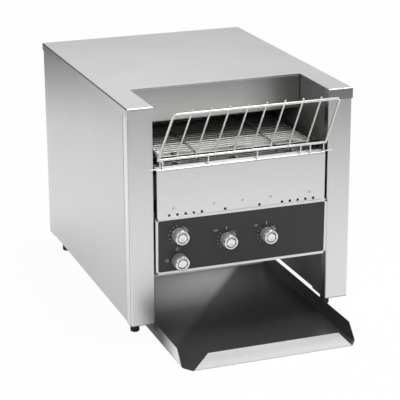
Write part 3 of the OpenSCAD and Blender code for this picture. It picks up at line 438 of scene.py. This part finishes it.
FINISH_OF_SLOT = {
    "cover_steel": cover_steel, "post_steel": post_steel, "side_steel": side_steel,
    "rear_steel": rear_steel, "galvanised_steel": galvanised_steel,
    "inner_wall_steel": inner_wall_steel, "hood_steel": hood_steel,
    "front_panel_steel": front_panel_steel, "bezel_steel": bezel_steel,
    "overlay_film": overlay_film, "knob_metal": knob_face, "shaft_steel": shaft_steel,
    "control_plastic": control_plastic, "board_plastic": board_plastic,
    "nut_metal": nut_metal, "rack_wire": rack_wire, "belt_wire": belt_wire,
    "plate_steel": plate_steel, "guide_black": guide_black, "sprocket_steel": sprocket_steel,
    "bushing_bronze": bushing_bronze, "chain_steel": chain_steel, "motor_black": motor_black,
    "element_sheath": element_sheath, "ceramic": ceramic, "reflector_steel": reflector_steel,
    "chute_steel": chute_steel, "tray_coated": coated_black, "fan_plastic": fan_plastic,
    "terminal_plastic": terminal_plastic, "gland_plastic": gland_plastic,
    "foot_rubber": foot_rubber, "screw_steel": screw_steel,
}

for part in frame["record"]["subparts"]:
    surface = nodes[part["node"]]
    for place in range(max(1, len(surface.material_slots))):
        if not surface.material_slots:
            surface.data.materials.append(None)
        surface.material_slots[place].material = FINISH_OF_SLOT[part["material_slot"]]


# ---- making pieces ----

def piece(name, mesh, body, slot, *finishes, stands_for=()):
    """Sets a bmesh drawn in millimetres into the frame as a piece that rides on a body."""
    mesh.transform(Matrix.Translation(in_frame(0, 0, 0)) @ Matrix.Scale(0.001, 4))
    data = bpy.data.meshes.new(name)
    mesh.to_mesh(data)
    mesh.free()
    made = bpy.data.objects.new(name, data)
    bpy.context.scene.collection.objects.link(made)
    for surface in finishes:
        data.materials.append(surface)
    settle(made, body, stands_for)
    return made


def settle(made, body, stands_for=()):
    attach(made, body)
    if stands_for:
        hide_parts(*stands_for)


def close_up(mesh, gap=0.001):
    bmesh.ops.remove_doubles(mesh, verts=mesh.verts[:], dist=gap)
    bmesh.ops.recalc_face_normals(mesh, faces=mesh.faces[:])


def new_verts(grown):
    return [item for item in grown["geom"] if isinstance(item, bmesh.types.BMVert)]


def new_edges(grown):
    return [item for item in grown["geom"] if isinstance(item, bmesh.types.BMEdge)
            and all(vert in grown["geom"] for vert in item.verts)]


def thickened(mesh, faces, step):
    """Draws faces out by a step into a closed solid."""
    grown = bmesh.ops.extrude_face_region(mesh, geom=faces)
    bmesh.ops.translate(mesh, vec=step, verts=new_verts(grown))


def turned(mesh, profile, steps):
    """Turns a profile of (radius, depth) pairs about an axis that runs along Y."""
    corners = [mesh.verts.new((radius, depth, 0)) for radius, depth in profile]
    edges = [mesh.edges.new(pair) for pair in zip(corners, corners[1:])]
    bmesh.ops.spin(mesh, geom=corners + edges, cent=(0, 0, 0), axis=(0, 1, 0),
                   angle=math.tau, steps=steps, use_merge=True)


def soften(mesh, edges, width, segments=2):
    bmesh.ops.bevel(mesh, geom=edges, offset=width, offset_type="OFFSET", segments=segments,
                    profile=0.5, affect="EDGES", material=-1)


def largest(mesh):
    return max(mesh.faces, key=lambda face: face.calc_area())


def face_up(mesh):
    """Turns an open sheet's faces the same way, its largest one upwards."""
    bmesh.ops.recalc_face_normals(mesh, faces=mesh.faces[:])
    if largest(mesh).normal.z < 0:
        bmesh.ops.reverse_faces(mesh, faces=mesh.faces[:])


def sheet_wall(made):
    """Gives an open sheet its thickness, half to each side."""
    wall = made.modifiers.new("sheet", "SOLIDIFY")
    wall.thickness = SHEET / 1000
    wall.offset = 0.0
    return wall


def round_shade(made, angle=40, flat_from=1.0):
    """Shades bends smooth, and leaves faces of at least flat_from square metres flat."""
    made.data.polygons.foreach_set(
        "use_smooth", [face.area < flat_from for face in made.data.polygons])
    made.data.set_sharp_from_angle(angle=math.radians(angle))


# ---- dials ----

KNOB_R = 15.0
KNOB_LENGTH = 23.0
KNOB_STEPS = 64
KNOB_GAP = 0.8             # between a knob and the overlay
KNOB_FRONT = OVERLAY_Y - KNOB_GAP - KNOB_LENGTH
GROOVE_IN, GROOVE_OUT = 8.6, 10.25
SKIRT_FROM = 3.9
RIBS_FROM, RIBS_TO, RIBS_INSIDE = 5.4, 21.9, 12.0
RIB_INSET, RIB_DEPTH = 0.28, 0.35
DIALS = {
    "speed": (-133.6, 213.6, "speed_dial"),
    "power": (-133.6, 161.0, "power_dial"),
    "top_heat": (-33.0, 191.8, "top_heat_dial"),
    "bottom_heat": (51.9, 191.8, "bottom_heat_dial"),
}

# Radius and depth behind the knob's front: the domed cap, the groove, the rim,
# the step, the ribbed skirt, its hem and the bore.
KNOB_PROFILE = [
    (0, 1.3), (3.0, 1.15), (6.0, 0.75), (8.0, 0.6),
    (8.8, 1.1), (8.9, 2.2), (10.1, 2.2), (10.2, 0.7),
    (10.8, 0.2), (11.4, 0), (13.0, 0), (13.9, 0.4), (14.4, 1.2),
    (14.4, 3.8), (14.1, 4.0), (14.1, 4.4),
    (KNOB_R - 0.3, 4.8), (KNOB_R, 5.3), (KNOB_R, KNOB_LENGTH - 1.0),
    (KNOB_R - 0.5, KNOB_LENGTH), (9.0, KNOB_LENGTH), (9.0, 19.0), (0, 19.0),
]


def dial_knob(name, x, z, body):
    mesh = bmesh.new()
    turned(mesh, [(radius, KNOB_FRONT + depth) for radius, depth in KNOB_PROFILE], KNOB_STEPS)
    close_up(mesh)
    ribs = []
    for face in mesh.faces:
        middle = face.calc_center_median()
        radius = math.hypot(middle.x, middle.z)
        depth = middle.y - KNOB_FRONT
        if RIBS_FROM < depth < RIBS_TO and radius > RIBS_INSIDE:
            ribs.append(face)
        if depth > SKIRT_FROM:
            face.material_index = 1
        elif GROOVE_IN < radius < GROOVE_OUT:
            face.material_index = 2
    bmesh.ops.inset_individual(mesh, faces=ribs, thickness=RIB_INSET, depth=-RIB_DEPTH,
                               use_even_offset=True)
    bmesh.ops.translate(mesh, vec=(x, 0, z), verts=mesh.verts[:])
    made = piece(f"{name}_knob_turned", mesh, body, "knob_metal", knob_face, knob_skirt,
                 knob_groove, stands_for=[f"{name}_knob"])
    round_shade(made)


for name, (x, z, body) in DIALS.items():
    dial_knob(name, x, z, body)


# ---- wire rack ----

RACK_WIRE_R = 2.5
RACK_ROD_R = 1.7
PIN_WIRE_R = 1.3
RACK_RODS = 8
RACK_TOP_X = POST_X - 14.9
RACK_BOTTOM_X = POST_X - 7.6
RACK_BOTTOM = Vector((0, -5.0, FRONT_PANEL_TOP + 21.0))
RACK_TOP = Vector((0, -79.2, FRONT_PANEL_TOP + 128.7))
RACK_UP = (RACK_TOP - RACK_BOTTOM).normalized()
ACROSS = Vector((1, 0, 0))
RACK_BACK = RACK_UP.cross(ACROSS).normalized()
RACK_BEND, PIN_BEND, HOOK_BEND = 6.0, 4.0, 2.5
ROD_SUNK = 0.25            # how far a rod is pressed into the frame's wire
ROD_BELOW, ROD_ABOVE = 1.6, 4.0
ROD_HEAD_DOWN, ROD_HEAD_UP, ROD_FLARE = 3.6, 0.6, 0.55
PIN_IN, PIN_OUT = 3.7, 11.7
PIN_Z = FRONT_PANEL_TOP + 3.4
HOOKS_X = (9.7 - RACK_BOTTOM_X, -72.0, 30.0, RACK_BOTTOM_X - 52.7, RACK_BOTTOM_X - 32.2)
HOOK_FRONT, HOOK_END = -3.6, 17.5
HOOK_Z = FRONT_PANEL_TOP + 0.9 + PIN_WIRE_R


def rounded_path(points, radius, steps):
    """The points of a wire's middle line with each inner corner bent to a radius."""
    path = [points[0]]
    for before_it, corner, after_it in zip(points, points[1:], points[2:]):
        into, out = (corner - before_it).normalized(), (after_it - corner).normalized()
        half = into.angle(out) / 2
        if half < 0.01:
            path.append(corner)
            continue
        reach = radius * math.tan(half)
        inward = (out - into).normalized()
        centre = corner + inward * (radius / math.cos(half))
        first = (corner - into * reach - centre).normalized()
        last = (corner + out * reach - centre).normalized()
        for step in range(steps + 1):
            path.append(centre + first.slerp(last, step / steps) * radius)
    path.append(points[-1])
    return path


def domed(path, radii):
    """Rounds off the first end of a wire, given by its points and their radii."""
    tip, size = path[0], radii[0]
    back = (path[1] - tip).normalized()
    shells = ((0.0, 0.25), (0.15, 0.62), (0.5, 0.92), (1.0, 1.0))
    return ([tip + back * (share * size) for share, width in shells] + path[1:],
            [size * width for share, width in shells] + radii[1:])


def wire_curve(name, wires, body, surface, stands_for):
    """Round wires with domed ends as a curve: each is a path in millimetres and a radius."""
    data = bpy.data.curves.new(name, "CURVE")
    data.dimensions = "3D"
    data.resolution_u = 1
    data.bevel_depth = 0.001
    data.bevel_resolution = 4
    data.use_fill_caps = True
    for path, radius in wires:
        path, radii = domed(path, [radius] * len(path))
        path, radii = domed(path[::-1], radii[::-1])
        spline = data.splines.new("POLY")
        spline.points.add(len(path) - 1)
        for point, place, size in zip(spline.points, path[::-1], radii[::-1]):
            point.co = (*in_frame(*place), 1.0)
            point.radius = size
    data.materials.append(surface)
    made = bpy.data.objects.new(name, data)
    bpy.context.scene.collection.objects.link(made)
    settle(made, body, stands_for)


def feed_rack():
    """The bent frame, its lower bar, the rods behind it, and the pins and hooks below."""
    outline = [RACK_BOTTOM - ACROSS * RACK_BOTTOM_X, RACK_TOP - ACROSS * RACK_TOP_X,
               RACK_TOP + ACROSS * RACK_TOP_X, RACK_BOTTOM + ACROSS * RACK_BOTTOM_X]
    bar = ACROSS * (RACK_BOTTOM_X + 2)
    wires = [(rounded_path(outline, RACK_BEND, 6), RACK_WIRE_R),
             ([RACK_BOTTOM - bar, RACK_BOTTOM + bar], RACK_WIRE_R)]
    behind = RACK_BACK * (RACK_WIRE_R + RACK_ROD_R - ROD_SUNK)
    for number in range(1, RACK_RODS + 1):
        share = number / (RACK_RODS + 1) * 2 - 1
        low = RACK_BOTTOM + ACROSS * (share * RACK_BOTTOM_X) + behind - RACK_UP * ROD_BELOW
        high = RACK_TOP + ACROSS * (share * RACK_TOP_X) + behind + RACK_UP * ROD_ABOVE
        wires.append(([low, high], RACK_ROD_R))
        head = [high - RACK_UP * ROD_HEAD_DOWN, high + RACK_UP * ROD_HEAD_UP]
        wires.append((head, RACK_ROD_R + ROD_FLARE))
    bar_y, bar_z = RACK_BOTTOM.y, RACK_BOTTOM.z
    for side in (-1, 1):
        x = side * (RACK_BOTTOM_X - PIN_IN)
        pin = [Vector((x, bar_y, bar_z)), Vector((x, bar_y, PIN_Z)),
               Vector((side * (POST_X + PIN_OUT), bar_y, PIN_Z))]
        wires.append((rounded_path(pin, PIN_BEND, 5), PIN_WIRE_R))
    for x in HOOKS_X:
        hook = [Vector((x, bar_y + 0.5, bar_z)), Vector((x, HOOK_FRONT, HOOK_Z)),
                Vector((x, HOOK_END, HOOK_Z))]
        wires.append((rounded_path(hook, HOOK_BEND, 4), PIN_WIRE_R))
    wire_curve("feed_rack_wires", wires, "rack", rack_wire, ["wire_rack"])


feed_rack()


# ---- discharge tray ----

TRAY_FRONT = -169.8
TRAY_SHOULDER = TRAY_FRONT + 22.3
TRAY_BACK = 330.0
TRAY_WALL_H = 30.0
TRAY_WALL_SLOPE = 27.0     # how far the walls' front ends lean back
TRAY_LIP_H = 32.0
TRAY_LIP_X = TRAY_HALF - 16.0
TRAY_LIP_INSET = 30.0      # how far the lip's ends lean in
TRAY_LIP_LEAN = math.radians(5)
TRAY_FOLD = 2.4


def tray():
    """One sheet: the floor with its two walls and the lip folded up."""
    half = TRAY_HALF - SHEET / 2
    low = SHEET / 2
    front = TRAY_FRONT + SHEET / 2
    mesh = bmesh.new()
    outline = [(-half, TRAY_BACK), (-half, TRAY_SHOULDER), (-TRAY_LIP_X, front),
               (TRAY_LIP_X, front), (half, TRAY_SHOULDER), (half, TRAY_BACK)]
    corners = [mesh.verts.new((x, y, low)) for x, y in outline]
    floor = mesh.faces.new(corners)
    floor.normal_update()
    if floor.normal.z < 0:
        floor.normal_flip()
    sides = [edge for edge in floor.edges if all(abs(v.co.x) > half - 1 for v in edge.verts)
             and edge.verts[0].co.x * edge.verts[1].co.x > 0]
    front_edge = next(e for e in floor.edges if all(v.co.y < front + 1 for v in e.verts))
    folds = sides + [front_edge]
    for edge in sides:
        top = new_verts(bmesh.ops.extrude_edge_only(mesh, edges=[edge]))
        bmesh.ops.translate(mesh, vec=(0, 0, TRAY_WALL_H - low), verts=top)
        for corner in top:
            if corner.co.y < TRAY_SHOULDER + 1:
                corner.co.y += TRAY_WALL_SLOPE
    top = new_verts(bmesh.ops.extrude_edge_only(mesh, edges=[front_edge]))
    lean = TRAY_LIP_H * math.tan(TRAY_LIP_LEAN)
    bmesh.ops.translate(mesh, vec=(0, lean, TRAY_LIP_H - low), verts=top)
    for corner in top:
        corner.co.x += TRAY_LIP_INSET if corner.co.x < 0 else -TRAY_LIP_INSET
    soften(mesh, folds, TRAY_FOLD, segments=5)
    face_up(mesh)
    made = piece("coated_tray", mesh, "tray", "tray_coated", coated_black, tray_steel,
                 stands_for=["discharge_tray"])
    wall = sheet_wall(made)
    wall.use_even_offset = True
    wall.material_offset = 1
    edge = made.modifiers.new("edges", "BEVEL")
    edge.width = 0.0002
    edge.segments = 2
    edge.limit_method = "ANGLE"
    edge.angle_limit = math.radians(50)
    round_shade(made, flat_from=0.001)


tray()


# ---- sheets at the mouth and the foot ----

PLATE_TOP = 360.9
PLATE_FRONT, PLATE_BACK, PLATE_EDGE = 46.0, 165.0, 10.0
SPROCKETS = (-124.5, 0.0, 124.5)
SLOT_HALF, SLOT_BACK = 3.7, 65.5
PLATE_FOLD = 2.0


def belt_plate():
    """The plate under the belt, with a slot for each sprocket and its rear edge bent down."""
    middle = PLATE_TOP - SHEET / 2
    across = [-WALL_X]
    for x in SPROCKETS:
        across += [x - SLOT_HALF, x + SLOT_HALF]
    across.append(WALL_X)
    mesh = bmesh.new()
    corners = [mesh.verts.new((x, PLATE_FRONT, middle)) for x in across]
    edges = [mesh.edges.new(pair) for pair in zip(corners, corners[1:])]
    for step in ((0, SLOT_BACK - PLATE_FRONT, 0), (0, PLATE_BACK - SLOT_BACK, 0),
                 (0, 0, SHEET / 2 - PLATE_EDGE)):
        fold = edges
        grown = bmesh.ops.extrude_edge_only(mesh, edges=edges)
        bmesh.ops.translate(mesh, vec=step, verts=new_verts(grown))
        edges = new_edges(grown)
    slots = [face for face in mesh.faces if face.calc_center_median().y < SLOT_BACK
             and any(abs(face.calc_center_median().x - x) < 1 for x in SPROCKETS)]
    bmesh.ops.delete(mesh, geom=slots, context="FACES_ONLY")
    soften(mesh, fold, PLATE_FOLD, segments=4)
    face_up(mesh)
    made = piece("belt_plate", mesh, "case", "plate_steel", plate_steel,
                 stands_for=["belt_support_plate"])
    sheet_wall(made)
    round_shade(made, flat_from=0.0005)


belt_plate()


HEM_TOP, HEM_LOW, TONGUE_LOW = 41.0, 36.8, 33.2
HEM_START, TONGUE_END, TONGUE_SLANT, HEM_END = 3.2, 60.0, 6.0, 600.0
HEM_PROUD = 0.4            # how far the fold stands in from the wall
HEM_THICKNESS = SHEET + 0.35


def wall_hem(side_name, side):
    """The folded hem along an inner wall's lower edge, with a deeper tongue behind the post."""
    outline = [(HEM_START, HEM_TOP), (HEM_END, HEM_TOP), (HEM_END, HEM_LOW),
               (TONGUE_END + TONGUE_SLANT, HEM_LOW), (TONGUE_END, TONGUE_LOW),
               (HEM_START, TONGUE_LOW)]
    mesh = bmesh.new()
    inner = WALL_X - HEM_PROUD
    face = mesh.faces.new([mesh.verts.new((side * inner, y, z)) for y, z in outline])
    thickened(mesh, [face], (side * HEM_THICKNESS, 0, 0))
    bmesh.ops.recalc_face_normals(mesh, faces=mesh.faces[:])
    soften(mesh, mesh.edges[:], 0.3)
    made = piece(f"{side_name}_wall_hem", mesh, "case", "inner_wall_steel", inner_wall_steel)
    round_shade(made, flat_from=0.0005)


wall_hem("left", -1)
wall_hem("right", 1)


def rectangle(width, depth):
    """A flat rectangle in a new mesh, centred on the origin."""
    mesh = bmesh.new()
    bmesh.ops.create_grid(mesh, x_segments=1, y_segments=1, size=0.5)
    bmesh.ops.scale(mesh, vec=(width, depth, 1.0), verts=mesh.verts[:])
    return mesh


FACING_W, FACING_D, FACING_THICKNESS = 350.0, 18.0, 0.3
FACING_Y, FACING_Z = 9.6, FRONT_PANEL_TOP + 0.45


def lip_facing():
    """A bright, mostly plain facing on the top of the front panel's lip, a painted highlight."""
    mesh = rectangle(FACING_W, FACING_D)
    thickened(mesh, mesh.faces[:], (0, 0, FACING_THICKNESS))
    bmesh.ops.recalc_face_normals(mesh, faces=mesh.faces[:])
    rims = [edge for edge in mesh.edges
            if all(v.co.z > FACING_THICKNESS - 0.1 for v in edge.verts)]
    soften(mesh, rims, 0.2)
    bmesh.ops.translate(mesh, vec=(0, FACING_Y, FACING_Z), verts=mesh.verts[:])
    made = piece("painted_highlight_lip_top", mesh, "case", "front_panel_steel", lip_highlight_steel)
    round_shade(made, flat_from=0.0005)


lip_facing()


# ---- bezel ----

BEZEL_W, BEZEL_H, BEZEL_RIM, BEZEL_THICKNESS = 362.0, 115.3, 4.9, 0.7
BEZEL_CORNER, BEZEL_EASE = 1.6, 0.45
BEZEL_BACK, BEZEL_Z = -3.0, 192.85


def bezel_frame():
    """The bright frame round the overlay, with its inner and outer edges eased."""
    mesh = rectangle(BEZEL_W, BEZEL_H)
    bmesh.ops.bevel(mesh, geom=mesh.verts[:], offset=BEZEL_CORNER, offset_type="OFFSET",
                    segments=4, profile=0.5, affect="VERTICES", material=-1)
    bmesh.ops.inset_region(mesh, faces=mesh.faces[:], thickness=BEZEL_RIM,
                           use_even_offset=True, use_boundary=True)
    bmesh.ops.delete(mesh, geom=[largest(mesh)], context="FACES_ONLY")
    thickened(mesh, mesh.faces[:], (0, 0, BEZEL_THICKNESS))
    bmesh.ops.recalc_face_normals(mesh, faces=mesh.faces[:])
    rims = [edge for edge in mesh.edges
            if all(v.co.z > BEZEL_THICKNESS - 0.1 for v in edge.verts)
            and any(abs(face.normal.z) < 0.5 for face in edge.link_faces)]
    soften(mesh, rims, BEZEL_EASE, segments=3)
    mesh.transform(Matrix.Translation((0, BEZEL_BACK, BEZEL_Z))
                   @ Matrix.Rotation(math.pi / 2, 4, "X"))
    made = piece("bezel_frame", mesh, "case", "bezel_steel", bezel_steel)
    round_shade(made, 50, flat_from=0.0003)


bezel_frame()


# ---- printed dial marks ----

PRINT_DEPTH = 0.08
DOT_R = 0.95
DOTS_OUT = 19.5            # from the dial's middle to its ring of dots
# A band's inner radius, and its outer radius at its start and at its end.
SWELLING_BAND = (17.2, 17.5, 20.6)
POWER_SIGN = (2.2, 3.1, 3.1)


def flat_shape(mesh, points):
    """A flat shape printed on the overlay, given as (x, z) pairs."""
    face = mesh.faces.new([mesh.verts.new((x, OVERLAY_Y, z)) for x, z in points])
    thickened(mesh, [face], (0, -PRINT_DEPTH, 0))


def round_from(x, z, angle, reach):
    """The place at a reach from x and z, at an angle in degrees clockwise from the top."""
    turn = math.radians(angle)
    return x + reach * math.sin(turn), z + reach * math.cos(turn)


def dot(mesh, x, z):
    flat_shape(mesh, [round_from(x, z, 23 * step, DOT_R) for step in range(16)])


def dots_round(mesh, x, z, angles):
    for angle in angles:
        dot(mesh, *round_from(x, z, angle, DOTS_OUT))


def tick(mesh, x, z, near, far, width):
    """An upright stroke over the place x and z."""
    flat_shape(mesh, [(x - width / 2, z + near), (x + width / 2, z + near),
                      (x + width / 2, z + far), (x - width / 2, z + far)])


def arc_band(mesh, x, z, start, end, inner, outer_start, outer_end, steps=16):
    """A band round a dial that widens from its start angle to its end angle."""
    inside, outside = [], []
    for step in range(steps + 1):
        share = step / steps
        angle = start + (end - start) * share
        inside.append(round_from(x, z, angle, inner))
        outside.append(round_from(x, z, angle, outer_start + (outer_end - outer_start) * share))
    for step in range(steps):
        flat_shape(mesh, [inside[step], inside[step + 1], outside[step + 1], outside[step]])


def word(mesh, letters, x, z, height):
    """A printed word, upright on the panel and centred at x and z."""
    data = bpy.data.curves.new(letters, "FONT")
    data.body = letters
    data.size = height / 0.7
    data.align_x = "CENTER"
    data.align_y = "CENTER"
    data.extrude = PRINT_DEPTH / 2
    data.offset = 0.06
    written = bpy.data.objects.new(letters, data)
    bpy.context.scene.collection.objects.link(written)
    drawn = bpy.data.meshes.new_from_object(written)
    drawn.transform(Matrix.Translation((x, OVERLAY_Y - PRINT_DEPTH / 2, z))
                    @ Matrix.Rotation(math.pi / 2, 4, "X"))
    mesh.from_mesh(drawn)
    bpy.data.objects.remove(written)
    bpy.data.meshes.remove(drawn)


def dial_marks():
    mesh = bmesh.new()
    for name in ("top_heat", "bottom_heat"):
        x, z = DIALS[name][:2]
        tick(mesh, x - 1.0, z, 20.5, 27.0, 1.4)
        dots_round(mesh, x, z, (-45, -67, -90, -112, -135))
        arc_band(mesh, x, z, 25, 70, *SWELLING_BAND)
        dot(mesh, *round_from(x, z, 47, 22.0))
        word(mesh, "OFF", x - 23.5, z + 20.5, 3.6)
    x, z = DIALS["speed"][:2]
    dots_round(mesh, x, z, (-135, -110, -85, -60, -35, -10))
    arc_band(mesh, x, z, 20, 75, *SWELLING_BAND)
    x, z = DIALS["power"][:2]
    arc_band(mesh, x - 3.0, z + 23.5, 0, 360, *POWER_SIGN, steps=20)
    arc_band(mesh, x - 24.5, z + 2.0, 40, 320, *POWER_SIGN, steps=20)
    tick(mesh, x - 24.5, z + 2.0, 0.6, 3.8, 0.9)
    close_up(mesh, 0.0005)
    piece("dial_marks", mesh, "case", "overlay_film", mark_ink)


dial_marks()


# ---- floor, lamps and camera ----

FLOOR_SIZE = 20.0          # in metres
FLOOR_DROP = 0.0005
FLOOR_WHITE, FLOOR_SEEN, FLOOR_MIRRORED = 0.86, 0.965, 0.45
FADE_FROM, FADE_TO, FADE_LEVEL = 1.45, 2.6, 0.12


def emptied(holder):
    holder.use_nodes = True
    holder.node_tree.nodes.clear()
    return holder


def mixed(surface, factor, first, second):
    mix = add(surface, "ShaderNodeMixShader")
    join(surface, factor, mix.inputs["Fac"])
    join(surface, first.outputs[0], mix.inputs[1])
    join(surface, second.outputs[0], mix.inputs[2])
    return mix


def matte(surface, level):
    diffuse = add(surface, "ShaderNodeBsdfDiffuse")
    diffuse.inputs["Color"].default_value = (level, level, level, 1)
    return diffuse


def floor_white():
    """Matte white, shown near white to the camera, and darker far off to all but the camera."""
    surface = emptied(bpy.data.materials.new("table_white"))
    ray = add(surface, "ShaderNodeLightPath").outputs
    white = add(surface, "ShaderNodeEmission")
    white.inputs["Color"].default_value = (1, 1, 1, 1)
    white.inputs["Strength"].default_value = 1.0
    mirrored = worked_out(surface, "MAXIMUM", ray["Is Glossy Ray"], ray["Is Transmission Ray"])
    shown = worked_out(surface, "MAXIMUM", times(surface, ray["Is Camera Ray"], FLOOR_SEEN),
                       times(surface, mirrored, FLOOR_MIRRORED))
    place = object_place(surface, (1.0, 1.0, 1.0), (0.0, -0.1, 0.0))
    reach = add(surface, "ShaderNodeVectorMath", operation="LENGTH")
    join(surface, place, reach.inputs[0])
    fade = between(surface, reach.outputs["Value"], 1.0, FADE_LEVEL, FADE_FROM, FADE_TO)
    near = mixed(surface, shown, matte(surface, FLOOR_WHITE), white)
    lit = mixed(surface, worked_out(surface, "MAXIMUM", ray["Is Camera Ray"], fade),
                matte(surface, 0.0), near)
    output = add(surface, "ShaderNodeOutputMaterial")
    join(surface, lit.outputs[0], output.inputs["Surface"])
    return surface


def floor():
    mesh = rectangle(FLOOR_SIZE, FLOOR_SIZE)
    data = bpy.data.meshes.new("table_top")
    mesh.to_mesh(data)
    mesh.free()
    made = bpy.data.objects.new("table_top", data)
    bpy.context.scene.collection.objects.link(made)
    made.location.z = -FLOOR_DROP
    data.materials.append(floor_white())


floor()


def room_light():
    """A pale room, dim near the horizon and to the left, and white to the camera."""
    world = emptied(bpy.data.worlds.new("studio"))
    bpy.context.scene.world = world
    direction = add(world, "ShaderNodeTexCoord")
    split = add(world, "ShaderNodeSeparateXYZ")
    join(world, direction.outputs["Generated"], split.inputs[0])
    x, y, z = split.outputs
    level = times(world, between(world, z, 0.12, 0.92, 0.02, 0.32, "SMOOTHSTEP"),
                  between(world, x, 0.35, 1.0, -0.35, 0.15, "SMOOTHSTEP"),
                  between(world, x, 1.0, 0.8, 0.30, 0.46, "SMOOTHSTEP"))
    seen = add(world, "ShaderNodeLightPath")
    light = add(world, "ShaderNodeBackground")
    light.inputs["Color"].default_value = (1, 1, 1, 1)
    join(world, worked_out(world, "MAXIMUM", seen.outputs["Is Camera Ray"], level),
         light.inputs["Strength"])
    output = add(world, "ShaderNodeOutputWorld")
    join(world, light.outputs[0], output.inputs["Surface"])


room_light()


def lamp(name, place, aim, width, length, power, mirrored=True):
    data = bpy.data.lights.new(name, "AREA")
    data.shape = "RECTANGLE"
    data.size = width
    data.size_y = length
    data.energy = power
    made = bpy.data.objects.new(name, data)
    made.location = place
    made.rotation_euler = (Vector(aim) - Vector(place)).to_track_quat("-Z", "Y").to_euler()
    made.visible_glossy = mirrored
    bpy.context.scene.collection.objects.link(made)


lamp("key_lamp", (0.7, -0.3, 2.9), (0, 0, 0.3), 0.9, 0.9, 34.0)
lamp("fill_lamp", (-1.8, -2.2, 1.6), (0, 0, 0.2), 1.6, 1.6, 18.0)
# The light that comes down through the open bottom on the tray.
lamp("chute_lamp", (-0.02, 0.015, 0.133), (-0.04, 0.055, 0.0), 0.26, 0.16, 0.55, mirrored=False)

eye = bpy.data.cameras.new("camera")
eye.sensor_width = 36.0
eye.lens = 138.56
camera = bpy.data.objects.new("camera", eye)
camera.location = (-1.06852, -2.87813, 1.21999)
camera.rotation_euler = (1.2497635, 0.0046890, -0.3550877)
bpy.context.scene.collection.objects.link(camera)
bpy.context.scene.camera = camera
bpy.context.scene.view_settings.view_transform = "Standard"
